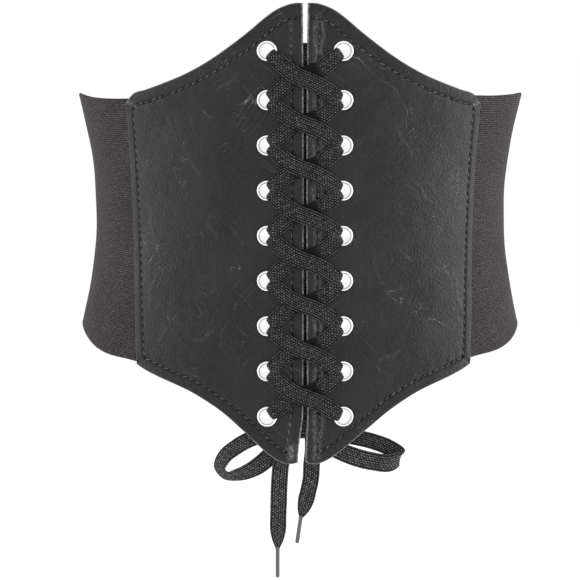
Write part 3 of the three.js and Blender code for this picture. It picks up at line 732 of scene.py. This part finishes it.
# Creases of the left (-1) and right (1) panels: from and to (distance, height), width and depth
CREASES = (
    (-1, 73, 53, 66, 42, 1.3, 0.22), (-1, 77, 47, 71, 38, 1.1, 0.16), (-1, 60, 30, 52, 22, 1.4, 0.14),
    (-1, 84, 8, 80, -12, 1.3, 0.16), (-1, 79, -30, 83, -48, 1.3, 0.18), (-1, 45, -60, 57, -66, 1.4, 0.16),
    (-1, 34, 70, 44, 62, 1.3, 0.16), (-1, 70, -58, 78, -66, 1.2, 0.18), (-1, 49, 2, 44, -12, 1.4, 0.12),
    (1, 46, 44, 55, 29, 1.3, 0.22), (1, 51, 43, 58, 32, 1.1, 0.18), (1, 57, 15, 68, 4, 1.3, 0.2),
    (1, 62, 17, 70, 10, 1.1, 0.15), (1, 84, 25, 81, 4, 1.3, 0.16), (1, 80, -28, 84, -50, 1.3, 0.16),
    (1, 38, -76, 50, -70, 1.3, 0.16), (1, 64, -52, 72, -64, 1.2, 0.18), (1, 33, -20, 37, -36, 1.4, 0.12),
    (1, 84, 68, 96, 62, 0.9, 0.3), (1, 88, 65, 95, 60.5, 0.8, 0.26), (-1, 90, 63, 97, 60.5, 0.9, 0.16),
)


def panel_edges(share):
    rise = smooth_table(SECTION_ACROSS, SECTION_RISE, share)
    drop = smooth_table(SECTION_ACROSS, SECTION_DROP, share)
    return lerp(PANEL_SIDE_BOTTOM, PANEL_TIP, drop), lerp(PANEL_SIDE_TOP, PANEL_PEAK, rise)


def slit_half(z):
    end_width = np.where(z > 0, SLIT_PEAK, SLIT_TIP)
    end_height = np.where(z > 0, PANEL_PEAK, PANEL_TIP)
    return lerp(SLIT_MIDDLE, end_width, (z / end_height) ** 2) / 2


def slit_edge(side, z):
    """Where a panel's slit edge runs: below the lowest eyelet both drift left, the left one more."""
    return slit_half(z) + SLIT_DRIFT[side] * smoothstep(-z, 99, 123)


def side_reach(z):
    share = np.clip((z - PANEL_SIDE_BOTTOM) / (PANEL_SIDE_TOP - PANEL_SIDE_BOTTOM), 0, 1)
    return lerp(PANEL_BOTTOM_REACH, PANEL_TOP_REACH, share) + PANEL_SIDE_BOW * 4 * share * (1 - share)


def top_seam(share):
    return lerp(7.2, 6.4, smoothstep(share, 0.1, 0.6))


SHARES = np.linspace(0, 1, 401)
LOW_EDGE, HIGH_EDGE = panel_edges(SHARES)
LOW_STRETCH = np.hypot(1, np.gradient(LOW_EDGE, SHARES * PANEL_SPAN))
HIGH_STRETCH = np.hypot(1, np.gradient(HIGH_EDGE, SHARES * PANEL_SPAN))


def eyelet_height(row):
    pitch = (EYELET_TOP - EYELET_BOTTOM - EYELET_TOP_SPARE) / (EYELET_ROWS - 1)
    return EYELET_TOP if row == 0 else EYELET_TOP - EYELET_TOP_SPARE - row * pitch


def seam_line(share, z):
    """A seam as shares across, heights, and the distance along it."""
    share, z = np.broadcast_arrays(share, z)
    run = np.hypot(np.diff(share) * PANEL_SPAN, np.diff(z))
    return share, z, np.concatenate([[0], np.cumsum(run)])


across_run = np.linspace(3 / PANEL_SPAN, 1 - SIDE_SEAM / PANEL_SPAN, 200)
low_run = np.linspace(STAY_SEAM / PANEL_SPAN, 1 - SIDE_SEAM / PANEL_SPAN, 200)
high_z = np.interp(across_run, SHARES, HIGH_EDGE - top_seam(SHARES) * HIGH_STRETCH)
low_z = np.interp(low_run, SHARES, LOW_EDGE + BOTTOM_SEAM * LOW_STRETCH)
stay_top = np.interp(STAY_SEAM / PANEL_SPAN, across_run, high_z)
side_z = np.linspace(low_z[-1], high_z[-1], 200)
stay_z = np.linspace(low_z[0], stay_top, 300)
SEAMS = {
    "top": seam_line(across_run, high_z),
    "bottom": seam_line(low_run, low_z),
    "side": seam_line(1 - SIDE_SEAM / (side_reach(side_z) - slit_half(side_z)), side_z),
    "stay": seam_line(STAY_SEAM / (side_reach(stay_z) - slit_half(stay_z)), stay_z),
}


def rounding(inward):
    rest = EDGE_RADIUS - np.clip(inward, 0, EDGE_RADIUS)
    return EDGE_RADIUS - np.sqrt(EDGE_RADIUS**2 - rest**2)


def turned(inward, seam):
    """Height of a turned edge, sewn down at its seam, and of the padded field beyond."""
    strip = TURNED_WALL + TURNED_BULGE * np.sin(np.pi * np.clip(inward / seam, 0, 1))
    field = PANEL_WALL + FIELD_BULGE * bell(inward, seam + 2.4, 1.8)
    return lerp(strip, field, smoothstep(inward, seam - 0.2, seam + 1.6)) - rounding(inward)


def groove(inward, seam, run, where):
    """Depth that a row of stitches pulls down, deepest at its holes."""
    depth = SEAM_DEPTH + HOLE_DEPTH * np.cos(np.pi * run / STITCH_PITCH) ** 2
    return depth * bell(inward, seam, 0.62) * where


def creases(side, reach, z):
    """The depth of each crease of a panel, raised along one side, and how much lighter its raised side is
    painted: partly rub wear, partly painted highlight.
    """
    for panel, x0, z0, x1, z1, width, depth in CREASES:
        if panel == side:
            length = np.hypot(x1 - x0, z1 - z0)
            long_way = np.array((x1 - x0, z1 - z0)) / length
            ahead = (reach - x0) * long_way[0] + (z - z0) * long_way[1]
            bend = 0.8 * np.sin(ahead * 0.45 + x0)
            aside = (z - z0) * long_way[0] - (reach - x0) * long_way[1] - bend
            there = smoothstep(ahead, -2, 3) * (1 - smoothstep(ahead, length - 3, length + 2))
            sunk = bell(aside, 0, width * 0.6) - 0.6 * bell(aside, width * 1.3, width)
            yield depth * there * sunk, depth * 0.5 * there * bell(aside, width * 1.3, width * 0.6)


def right_of_slit(z, in_slit, in_top, in_bottom, upright):
    """The right panel beside the slit: a wavy fold on each side of the seam, and two streaks painted
    lighter, painted highlights along the folds.
    """
    wave = np.sin(z * 0.31 + 1.4 * np.sin(z * 0.083))
    folds = 0.2 * bell(in_slit, 8.6 + 0.9 * wave, 1.1) - 0.12 * bell(in_slit, 3.1 + 0.4 * wave, 0.5)
    # Painted highlights: two light streaks along the folds
    streaks = bell(in_slit, 4.2 + 0.5 * wave, 0.9) + bell(in_slit, 7.4 - 0.6 * wave, 0.7)
    return folds * upright, 0.26 * streaks * smoothstep(in_top, 4, 9) * smoothstep(in_bottom, 0, 4)


def left_of_slit(z, in_slit, in_bottom, upright):
    """The left panel beside the slit: the stay's end shows at the tip with a painted highlight on its bulge,
    and the seam's ends are rubbed.
    """
    tip = 1 - smoothstep(z, -113.5, -111)
    stay_end = 0.75 * bell(in_slit, 3.3, 2.2) * tip * smoothstep(in_bottom, 1.5, 3.5)
    folds = 0.12 * bell(in_slit, 8.2, 1.2) * upright * np.sin(z * 0.24)
    ends = smoothstep(z, 78, 84) + 1 - smoothstep(z, -104, -98)
    dashes = 0.16 + 0.16 * np.sin(z * 2.1) * np.sin(z * 0.37)
    lightened = dashes * bell(in_slit, 6.4, 0.5) * ends * upright
    # Painted highlight on the bulge of the stay's end at the tip
    lit = bell(in_slit, 3.6, 1.7) * (1 - smoothstep(z, -118, -114))
    return stay_end + folds, np.maximum(lightened, 0.4 * lit * smoothstep(in_bottom, 1, 2))


def leather(side, share, z):
    """Height of a panel's face over its back, distance in from the nearest edge, and how much lighter it is
    painted there: rub wear, and painted highlight on the slit edge and on crease ridges and folds.
    """
    low, high = panel_edges(share)
    in_top = (high - z) / np.interp(share, SHARES, HIGH_STRETCH)
    in_bottom = (z - low) / np.interp(share, SHARES, LOW_STRETCH)
    slit = slit_edge(side, z)
    reach = lerp(slit, side_reach(z), share)
    in_slit, in_side = reach - slit, side_reach(z) - reach
    ridge = STAY_RIDGE * np.sin(np.pi * np.clip(in_slit / STAY_SEAM, 0, 1)) ** 0.7
    seam = top_seam(share)
    face = np.minimum(turned(in_top, seam), turned(in_bottom, BOTTOM_SEAM))
    face = np.minimum(face, turned(in_side, SIDE_SEAM))
    inner = smoothstep(np.minimum(in_top - seam, in_bottom - BOTTOM_SEAM), -0.5, 3)
    face = np.minimum(face, lerp(SLIT_BORDER_WALL, PANEL_WALL, inner) - rounding(in_slit)) + ridge * inner
    within = smoothstep(in_side, SIDE_SEAM - 0.8, SIDE_SEAM)
    face -= groove(in_top, seam, np.interp(share, *SEAMS["top"][::2]), within * smoothstep(in_slit, 2, 3.4))
    face -= groove(in_bottom, BOTTOM_SEAM, np.interp(share, *SEAMS["bottom"][::2]),
                   within * smoothstep(in_slit, STAY_SEAM - 0.8, STAY_SEAM))
    upright = smoothstep(in_top, seam - 0.8, seam) * smoothstep(in_bottom, BOTTOM_SEAM - 0.8, BOTTOM_SEAM)
    face -= groove(in_side, SIDE_SEAM, np.interp(z, *SEAMS["side"][1:]), upright)
    face -= groove(in_slit, STAY_SEAM, np.interp(z, *SEAMS["stay"][1:]), upright)
    nearest = np.minimum.reduce([in_top, in_bottom, in_slit, in_side])
    # Mitre folds of the turned edge in the corners
    for inward in (in_top, in_bottom):
        near = 1 - smoothstep(np.maximum(inward, in_side), 4.8, 6.2)
        face -= MITRE_DEPTH * bell(inward - in_side, 0.3, 0.4) * near * smoothstep(nearest, 0.3, 1)
    # Puckers along the seams, and the slack of the field
    for inward, line in ((in_top, "top"), (in_bottom, "bottom")):
        run = np.interp(share, *SEAMS[line][::2])
        face += 0.07 * np.sin(run * 0.82 + 2 * np.sin(run * 0.13 + side)) * bell(inward, 9.5, 3.2)
        face += 0.05 * np.sin(run * 1.57 + 0.8) * bell(inward, 3.2, 1.6)
    field = smoothstep(nearest, 6.5, 12)
    face += 0.16 * soft_waves(reach, z, 30, 11 + side) * field
    face += 0.06 * soft_waves(reach, z, 9, 23 + side) * field
    # Painted highlight: the slit edge is painted lighter where its rounding catches the light
    wear_and_highlight = 0.9 * (1 - smoothstep(in_slit, 0.35, 0.95))
    # Lighter beside the mitre fold of the top corner
    corner = 1 - smoothstep(np.maximum(in_top, in_side), 5, 6.4)
    wear_and_highlight = np.maximum(wear_and_highlight, 0.5 * bell(in_top - in_side, -0.8, 0.45) * corner)
    # Crease ridges painted lighter: partly rub wear, partly painted highlight
    for depth, shine in creases(side, reach, z):
        face -= depth
        wear_and_highlight = np.maximum(wear_and_highlight, shine)
    if side > 0:
        height, shine = right_of_slit(z, in_slit, in_top, in_bottom, upright)
    else:
        height, shine = left_of_slit(z, in_slit, in_bottom, upright)
    face += height
    wear_and_highlight = np.maximum(wear_and_highlight, shine)
    # Pressed down under each eyelet, and swelling round it
    for row in range(EYELET_ROWS):
        away = np.hypot(reach - EYELET_REACH, z - eyelet_height(row))
        face += 0.22 * bell(away, 6.8, 1.5) - 0.3 * (1 - smoothstep(away, 4.4, 5.4))
    return face, nearest, wear_and_highlight


def front_panel(name, side):
    slit_shares = EDGE_STEPS / PANEL_SPAN
    side_shares = 1 - EDGE_STEPS[::-1] / STAY_SEAM * SIDE_SEAM / PANEL_SPAN
    middle = np.linspace(slit_shares[-1], side_shares[0], MIDDLE_COLUMNS + 2)[1:-1]
    share = np.concatenate([slit_shares, middle, side_shares])
    low, high = panel_edges(share)
    steps = EDGE_STEPS[:, None] / STAY_SEAM
    lower = low + steps * BOTTOM_SEAM * np.interp(share, SHARES, LOW_STRETCH)
    upper = high - steps[::-1] * top_seam(share) * np.interp(share, SHARES, HIGH_STRETCH)
    between = np.linspace(0, 1, MIDDLE_ROWS + 2)[1:-1, None]
    z = np.concatenate([lower, lerp(lower[-1], upper[0], between), upper])
    share = np.broadcast_to(share, z.shape)
    reach = lerp(slit_edge(side, z), side_reach(z), share)
    # Rounds the holes: their corners move onto the barrels of the eyelets
    keep = np.ones((z.shape[0] - 1, z.shape[1] - 1), bool)
    for row in range(EYELET_ROWS):
        across, up = reach - EYELET_REACH, z - eyelet_height(row)
        away = np.hypot(across, up)
        cells = (away[:-1, :-1] + away[1:, :-1] + away[:-1, 1:] + away[1:, 1:]) / 4
        gone = cells < HOLE_RADIUS + 0.2
        touched = np.zeros(z.shape, bool)
        kept = np.zeros(z.shape, bool)
        for rows, columns in ((slice(0, -1), slice(0, -1)), (slice(1, None), slice(0, -1)),
                              (slice(0, -1), slice(1, None)), (slice(1, None), slice(1, None))):
            touched[rows, columns] |= gone
            kept[rows, columns] |= ~gone
        rim = touched & kept
        reach = np.where(rim, EYELET_REACH + across / np.maximum(away, 0.1) * HOLE_RADIUS, reach)
        z = np.where(rim, eyelet_height(row) + up / np.maximum(away, 0.1) * HOLE_RADIUS, z)
        keep &= ~gone
    slit = slit_edge(side, z)
    share = (reach - slit) / (side_reach(z) - slit)
    face, nearest, wear_and_highlight = leather(side, share, z)
    lay = beside(nearest, wear_and_highlight)
    distance = SLIT_SHIFT + side * reach
    front = belt_places(distance, z, PANEL_INNER + face)[0]
    back = belt_places(distance, z, PANEL_INNER + rounding(nearest))[0]
    cells = (nearest[:-1, :-1] + nearest[1:, 1:]) / 2
    lined = (cells > LINING_INSET).astype(np.int32)
    if side < 0:
        front, back, lay, keep, lined = (grid[:, ::-1] for grid in (front, back, lay, keep, lined))
    return shell(name, front, back, [LEATHER, LINING], keep, lined, lay)


def stitches(name, side):
    """Every stitch of a panel: a short thread that dips into its two holes and leans a little."""
    parts = []
    steps = np.linspace(-1, 1, 7)
    turns = np.linspace(0, 2 * np.pi, 6, endpoint=False)
    for share, z, run in SEAMS.values():
        middles = np.arange(STITCH_PITCH / 2, run[-1] - STITCH_PITCH / 3, STITCH_PITCH)
        for at in middles:
            ends = np.array((at - 0.5, at + 0.5))
            (s0, s1), (z0, z1) = np.interp(ends, run, share), np.interp(ends, run, z)
            here_z = (z0 + z1) / 2
            here_reach = lerp(slit_edge(side, here_z), side_reach(here_z), (s0 + s1) / 2)
            lean = np.arctan2(z1 - z0, (s1 - s0) * PANEL_SPAN * side) + STITCH_SLANT
            go = steps * STITCH_LENGTH / 2
            face = leather(side, np.array((s0 + s1) / 2), np.array(here_z))[0]
            offsets = PANEL_INNER + face + 0.16 - 0.5 * steps**4
            distance = SLIT_SHIFT + side * here_reach + go * np.cos(lean)
            centres, _, out = belt_places(distance, here_z + go * np.sin(lean), offsets)
            aside = np.cross(out, unit(np.gradient(centres, axis=0)))
            radius = THREAD_RADIUS * np.sqrt(1 - 0.75 * steps**6)
            across, up = np.cos(turns)[None, :, None], np.sin(turns)[None, :, None]
            rim = across * aside[:, None] + up * out[:, None]
            parts.append(lace_tube(centres[:, None] + rim * radius[:, None, None]))
    return joined_piece(name, parts, [THREAD])


for side, word in ((-1, "left"), (1, "right")):
    panel = finish_piece(front_panel(f"{word}_leather_panel", side), "black_leather", f"{word}_front_panel")
    finish_piece(stitches(f"{word}_panel_stitches", side), "black_leather")


# Elastic bands, from under the panels to the middle of the back

BAND_ALONG = (0, 0.035, 0.09, 0.15, 0.22, 0.28, 0.34, 0.4, 0.46, 0.54, 1)
BAND_TOP_CLIMB = (0.22, 0.22, 0.31, 0.52, 0.87, 0.97, 0.7, 0.36, 0.15, 0.12, 0.12)
BAND_BOTTOM_CLIMB = (0.07, 0.155, 0.3, 0.49, 0.78, 0.97, 1, 1, 1, 1, 1)
# Beside the panels the right band sits a touch higher than the left one, and the lower edge of both sags
BAND_LIFT = 0.85
BAND_SAG = 1.8
BAND_COLUMNS = 50
BAND_ROWS = 110
# Height of the flat elastic, between its heights at the panel and at the side
# Ribs are about 0.9 mm apart, drawn at 1.15 mm so that they show
RIB_PITCH = 1.15


def band_edges(along):
    top = lerp(PANEL_SIDE_TOP, ELASTIC_SIDE_TOP, smooth_table(BAND_ALONG, BAND_TOP_CLIMB, along))
    drop = smooth_table(BAND_ALONG, BAND_BOTTOM_CLIMB, along)
    return lerp(PANEL_SIDE_BOTTOM + ELASTIC_INSET, ELASTIC_SIDE_BOTTOM, drop), top


def elastic_band(name, side):
    up = np.linspace(0, 1, BAND_ROWS)[:, None]
    along = np.concatenate([[0], np.linspace(0, 1, BAND_COLUMNS) ** 1.3])
    lift = side * BAND_LIFT * (1 - smoothstep(along, 0.1, 0.32))
    bottom, top = (edge + lift for edge in band_edges(along))
    bottom = bottom - BAND_SAG * smoothstep(along, 0.01, 0.12) * (1 - smoothstep(along, 0.26, 0.4))
    z = lerp(bottom, top, up)
    start = side_reach(z)
    distance = lerp(start, half_girth(z) - ELASTIC_END_GAP / 2, along)
    distance[:, 0] = (start - ELASTIC_TUCK)[:, 0]
    x = side * distance + SLIT_SHIFT * (1 - along)
    ribs = (PANEL_SIDE_TOP - PANEL_SIDE_BOTTOM) / RIB_PITCH
    rib = up * ribs + 0.2 * soft_waves(distance, z, 26, 31 + side)
    edge = np.minimum(up, 1 - up) * (top - bottom)
    selvedge = 0.12 * bell(edge, 1.2, 0.8)
    thin = 0.45 * np.clip(1 - edge / 0.4, 0, 1)
    swell = 0.15 * soft_waves(distance, z, 40, 41 + side) * smoothstep(distance, 100, 120)
    front = belt_places(x, z, ELASTIC_WALL + selvedge + swell - thin)[0]
    back = belt_places(x, z, 0.05 + swell + thin)[0]
    lay = beside(rib)
    if side < 0:
        front, back, lay = front[:, ::-1], back[:, ::-1], lay[:, ::-1]
    return shell(name, front, back, [ELASTIC], lay=lay)


for side, word in ((-1, "left"), (1, "right")):
    band = elastic_band(f"{word}_ribbed_elastic", side)
    finish_piece(band, "black_elastic", f"{word}_elastic_band")
    length = float(half_girth(0) - side_reach(0) + ELASTIC_TUCK)


# Heights of the strip's ends
STRIP_EDGES = (band_edges(1.0)[0] - STRIP_OVERHANG, band_edges(1.0)[1] + STRIP_OVERHANG)


STRIP_SEAM = 3.0
STRIP_COLUMNS = 18
STRIP_ROWS = 130


def closure_strip():
    """Leather strip over the ends of the bands, its long edges turned and sewn."""
    edge = np.array((0, 0.15, 0.4, 0.8, 1.3, 1.9, 2.4, 2.7, 3.0, 3.3, 3.6, 4.1, 5.0))
    middle = np.linspace(5, STRIP_WIDTH - 5, STRIP_COLUMNS)[1:-1]
    across = np.concatenate([edge, middle, STRIP_WIDTH - edge[::-1]])
    bottom, top = STRIP_EDGES
    middle = np.linspace(bottom + 5, top - 5, STRIP_ROWS)[1:-1]
    up = np.concatenate([bottom + edge, middle, top - edge[::-1]])
    across, z = np.meshgrid(across, up)
    in_across = np.minimum(across, STRIP_WIDTH - across)
    in_up = np.minimum(z - bottom, top - z)
    nearest = np.minimum(in_across, in_up)
    face = STRIP_WALL + 0.1 * soft_waves(across, z, 24, 5) * smoothstep(nearest, 3.5, 8) - rounding(nearest)
    hole = 0.36 + 0.3 * np.cos(np.pi * (z - bottom) / STITCH_PITCH) ** 2
    face -= hole * bell(in_across, STRIP_SEAM, 0.5) * smoothstep(in_up, 2, 3)
    distance = half_girth(z) + across - STRIP_WIDTH / 2
    front = belt_places(distance, z, PANEL_INNER + face)[0]
    back = belt_places(distance, z, PANEL_INNER + rounding(nearest))[0]
    return shell("back_leather_strip", front, back, [LEATHER], lay=beside(nearest))


strip = finish_piece(closure_strip(), "black_leather", "back_closure_strip")


# The laced stretch. Dives: distance from an eyelet's middle line, offset over the face, width

FACE_DIVE = (
    (0.9, -2.4, 3.2), (1.15, -1.2, 4.0), (1.5, 0.0, 5.1), (2.1, 0.95, 6.1), (3.0, 1.6, 6.9), (4.6, 1.9, 7.7),
    (6.6, 1.95, 8.3),
)
# Pulled tight, the yarns catch less light: a painted shade, the colour of the whole laced stretch darker
TIGHT_SHADE = 0.85
TIGHT_FOLDS = 0.18
# How far each lace over the face bends aside in its plane, and how far it kinks one way and back
FACE_BOW = {-1: -1.2, 1: 0.3}
FIRST_BOW = -1.0
FACE_SLANT = {-1: -1.4, 1: -2.6}
OVER_HEIGHT = 3.0
UNDER_HEIGHT = 1.5
REAR_DIVE = ((-0.4, 0.8, 4.4), (0.3, -0.2, 5.4), (1.0, -1.0, 6.2), (2.2, -1.6, 7.2), (4.5, -1.8, 8.0))
# The two laces behind each row: how far each lies deeper, bends aside and kinks, and how much wider it is.
# Behind the first row one bar is spread over the slit.
REAR_FAN = 3.6
REAR_PAIR = ((0, REAR_FAN, 0.0, 1.0), (1.5, -REAR_FAN, 0.0, 1.0))
TOP_BAR = ((0, -1.9, 0.6, 1.42),)
FACE_LACE_STEP = 0.42
REAR_LACE_STEP = 1.1
TAIL_REACH = -1.5
TAIL_RISE = 8.4
TAIL_DEPTH = 1.4


def flat_stretch(x, z, offset, way, widths, at, relief, folds=0.0, swerve=0.0):
    """Rings of lace that lies flat to the belt, and its yarns. way is the direction that it runs in, as
    shares round and up, and swerve what it turns aside from that."""
    centres, round_way, out = belt_places(x, z, offset)
    rise = np.reshape(way[1] + swerve, (-1, 1))
    in_plane = unit(round_way * way[0] + np.array((0, 0, 1.0)) * rise)
    flat = unit(np.cross(out, in_plane))
    thick = unit(np.cross(unit(np.gradient(centres, axis=0)), flat))
    thick *= np.sign(np.einsum("ij,ij->i", thick, out))[:, None]
    return lace_rings(centres, flat, thick, widths, at, fine_back=False, relief=relief, folds=folds)


def stretch(start, end, dives, middle, base, step, bow, slant, relief=YARN_RELIEF, spread=1.0, shaded=False):
    """The lace from one eyelet to the next. middle is its offset halfway over, bow how far it bends aside
    in its plane, slant how far it kinks one way and back where it crosses the slit, and spread how much
    wider it lies away from the eyelets. A shaded one is painted darker under the lace that crosses it, a
    painted contact shadow."""
    (x0, z0), (x1, z1) = start, end
    length = np.hypot(x1 - x0, z1 - z0)
    reach = -dives[0][0]
    at = np.linspace(-reach, length + reach, int((length + 2 * reach) / step))
    near = np.minimum(at, length - at)
    table = np.array(dives + ((12.0, middle, LACE_WIDTH), (40.0, middle, LACE_WIDTH)))
    offset, width = smooth_table(table[:, 0], table[:, 1:], near).T
    width = width * lerp(1, spread, smoothstep(near, 2, 7))
    way = np.array((x1 - x0, z1 - z0)) / length
    share = np.clip(at / length, 0, 1)
    sag = bow * np.sin(np.pi * share) ** 0.7 + slant * np.sin(np.pi * share) * np.sin(2 * np.pi * share)
    rings, yarns = flat_stretch(x0 + way[0] * at, z0 + way[1] * at + sag, base + offset, way, width, at,
                                relief, TIGHT_FOLDS, np.gradient(sag, at))
    # Painted contact shadow: the under lace's colour darkened where the other lace crosses it
    pressed = lerp(0.1, 1, smoothstep(np.abs(at - length / 2), 4.5, 10)) if shaded else np.ones(len(at))
    return lace_tube(rings), yarns * TIGHT_SHADE * pressed[:, None]


def tail(side):
    """The lace from one of the lowest eyelets to the side of the knot, behind the leather."""
    x0, z0 = SLIT_SHIFT + side * EYELET_REACH, eyelet_height(EYELET_ROWS - 1)
    x1, z1 = SLIT_SHIFT + side * TAIL_REACH, KNOT[2] + TAIL_RISE
    length = np.hypot(x1 - x0, z1 - z0)
    at = np.linspace(-0.4, length, 30)
    table = np.array(REAR_DIVE + ((length + 0.1, REAR_DIVE[-1][1] - TAIL_DEPTH, LACE_WIDTH),))
    offset, width = smooth_table(table[:, 0], table[:, 1:], at).T
    way = np.array((x1 - x0, z1 - z0)) / length
    rings, yarns = flat_stretch(x0 + way[0] * at, z0 + way[1] * at, PANEL_INNER + offset, way, width, at,
                                REAR_RELIEF)
    return lace_tube(rings), yarns


def laced_stretch():
    parts = []
    for row in range(EYELET_ROWS - 1):
        for side, height in ((1, UNDER_HEIGHT), (-1, OVER_HEIGHT)):
            start = (SLIT_SHIFT + side * EYELET_REACH, eyelet_height(row))
            end = (SLIT_SHIFT - side * EYELET_REACH, eyelet_height(row + 1))
            bow = FACE_BOW[side] + (FIRST_BOW if row == 0 and side < 0 else 0.3 * np.sin(1.7 * row + side))
            parts.append(stretch(start, end, FACE_DIVE, height, PANEL_FACE, FACE_LACE_STEP, bow,
                                 FACE_SLANT[side], shaded=side > 0))
    for row in range(EYELET_ROWS - 1):
        ends = [(SLIT_SHIFT + side * EYELET_REACH, eyelet_height(row)) for side in (-1, 1)]
        for drop, bow, slant, spread in REAR_PAIR if row else TOP_BAR:
            dives = tuple((at, offset - drop * (1 if at > 0.5 else 0.3), width)
                          for at, offset, width in REAR_DIVE)
            parts.append(stretch(*ends, dives, REAR_DIVE[-1][1] - drop, PANEL_INNER, REAR_LACE_STEP, bow,
                                 slant, REAR_RELIEF, spread))
    parts += [tail(side) for side in (-1, 1)]
    tubes, yarns = zip(*parts)
    return joined_piece("plaited_lace", tubes, [BRAID], yarns)


finish_piece(laced_stretch(), "black_braid", "lace")


KNOT_RINGS = 60
KNOT_TURNS = 120
# 1 would make the knot a ball, and 0 a block
KNOT_ROUNDNESS = 0.5
KNOT_SKIN = 0.35


def squared(value):
    return np.sign(value) * np.abs(value) ** KNOT_ROUNDNESS


def knot(name):
    """The knot: a tight turn of the lace round the crossing laces, folded at its sides."""
    up = np.linspace(-np.pi / 2, np.pi / 2, KNOT_RINGS + 2)[1:-1, None]
    turn = np.linspace(0, 2 * np.pi, KNOT_TURNS, endpoint=False)[None, :]
    girth = squared(np.cos(up))
    sides = (girth * squared(np.cos(turn)), girth * squared(np.sin(turn)), squared(np.sin(up)))
    shape = np.stack(np.broadcast_arrays(*sides), -1)
    corners = shape * (KNOT_HALF_SIZE - KNOT_SKIN)
    x, z = corners[..., 0], corners[..., 2]
    band = 1 - smoothstep(np.abs(x), 3.9, 4.5)
    yarns = plaits(x + BRAID_START, z + BRAID_START)
    relief = 0.5 * band + 0.2 * yarns
    relief -= 0.25 * bell(np.abs(x), 4.7, 0.3) + 0.12 * np.sin(z * 1.9 + x * 0.6) * (1 - band)
    corners = corners + unit(shape / KNOT_HALF_SIZE) * relief[..., None]
    return joined_piece(name, [lace_tube(corners + KNOT)], [BRAID], [yarns])


finish_piece(knot("knot_of_lace"), "black_braid", "bow_knot")


# Eyelets: radius and height over the leather, from the roll on the back along the barrel and the pressed
# flange to a shallow cup, which closes the bore, and back down inside

EYELET_PROFILE = (
    (1.95, -3.2), (2.3, -3.35), (3.2, -3.4), (4.0, -3.25), (4.4, -2.95), (4.35, -2.72), (4.0, -2.66),
    (3.15, -2.66), (3.1, -2.0), (3.1, 0.1), (3.3, 0.22), (4.8, 0.26), (5.05, 0.3), (5.14, 0.5), (5.08, 0.8),
    (4.88, 1.02), (4.62, 1.1), (4.38, 1.05), (4.18, 0.86), (4.08, 0.66), (3.98, 0.66), (3.88, 0.8),
    (3.7, 0.86), (3.5, 0.84), (3.2, 0.78), (2.9, 0.69), (2.6, 0.58), (2.3, 0.48), (1.9, 0.36), (1.5, 0.27),
    (1.0, 0.2), (0.5, 0.16), (0.05, 0.15), (0.05, -2.0), (1.5, -3.0),
)
EYELET_TURNS = 56
GROOVE_RADIUS = 3.88


def eyelet(name, side, row):
    middle, round_way, out = belt_places(SLIT_SHIFT + side * EYELET_REACH, eyelet_height(row), PANEL_FACE)
    turns = np.linspace(0, 2 * np.pi, EYELET_TURNS, endpoint=False)
    rim = np.cos(turns)[:, None] * round_way + np.sin(turns)[:, None] * np.array((0, 0, 1.0))
    corners = np.array([middle + rim * radius + out * height for radius, height in EYELET_PROFILE])
    index = np.arange(corners[..., 0].size).reshape(corners.shape[:2])
    around = np.concatenate([index, index[:, :1]], 1)
    faces = grid_faces(np.concatenate([around, around[:1]])).reshape(-1, 4)[:, ::-1].tolist()
    # Where the groove's painted shadow line lies
    groove = [bell(radius, GROOVE_RADIUS, 0.2) * (height > 0) for radius, height in EYELET_PROFILE]
    lay = beside(np.repeat(groove, EYELET_TURNS))
    return new_piece(name, corners.reshape(-1, 3), faces, [NICKEL], lay=lay)


for side, word in ((-1, "left"), (1, "right")):
    for row in range(EYELET_ROWS):
        piece = eyelet(f"{word}_pressed_eyelet_{row + 1}", side, row)
        finish_piece(piece, "nickel_eyelet", f"{word}_eyelet_{row + 1}")


# Floor, light boxes and world

FLOOR_HEIGHT = -300.0
FLOOR_RADIUS = 2500
FLOOR_CORNERS = 96


def matt_white():
    """Floor: white laminate, matt. Even and bright, with a faint glow, as of a lit white table."""
    material, tree, shader, place = new_material("matt_white_laminate")
    tone = add_node(tree, "TexNoise", {"Vector": place, "Scale": per(300)})
    colour = add_node(tree, "Mix", colours(tone, "#f4f4f4", "#f9f9f9"), MIXED, data_type="RGBA")
    roughness = add_node(tree, "MapRange", {"Value": tone, **span(0, 1, 0.85, 0.95)})
    connect(tree, shader, {"Base Color": colour, "Roughness": roughness, "Emission Color": (1, 1, 1, 1),
                           "Emission Strength": 0.2})
    return material


def add_floor():
    turns = np.linspace(0, 2 * np.pi, FLOOR_CORNERS, endpoint=False)
    rim = np.stack([np.cos(turns) * FLOOR_RADIUS, np.sin(turns) * FLOOR_RADIUS,
                    np.full(FLOOR_CORNERS, FLOOR_HEIGHT)], -1)
    new_piece("floor", rim, [list(range(FLOOR_CORNERS))], [matt_white()])


def add_light(name, azimuth, elevation, distance, size, power):
    """A soft box that faces the belt from an azimuth (0 is in front) and an elevation, in degrees."""
    turn, climb = np.radians((azimuth, elevation))
    away = Vector((np.sin(turn) * np.cos(climb), -np.cos(turn) * np.cos(climb), np.sin(climb)))
    light = bpy.data.lights.new(name, "AREA")
    light.shape = "RECTANGLE"
    light.size, light.size_y = size
    light.energy = power
    stand_at(name, light, away * distance, away.to_track_quat("Z", "Y"))


def add_world():
    """An even white studio all round."""
    world = bpy.data.worlds.new("studio")
    world.use_nodes = True
    back = world.node_tree.nodes["Background"]
    back.inputs["Color"].default_value = (1, 1, 1, 1)
    back.inputs["Strength"].default_value = 1.0
    bpy.context.scene.world = world


add_floor()
for name, azimuth, power in (("left_box", -86, 9), ("right_box", 86, 15)):
    add_light(name, azimuth, 10, 1.6, (0.9, 1.3), power)
add_world()
bpy.context.scene.view_settings.view_transform = "Standard"


def plain(box):
    return [[float(number) for number in corner] for corner in box]
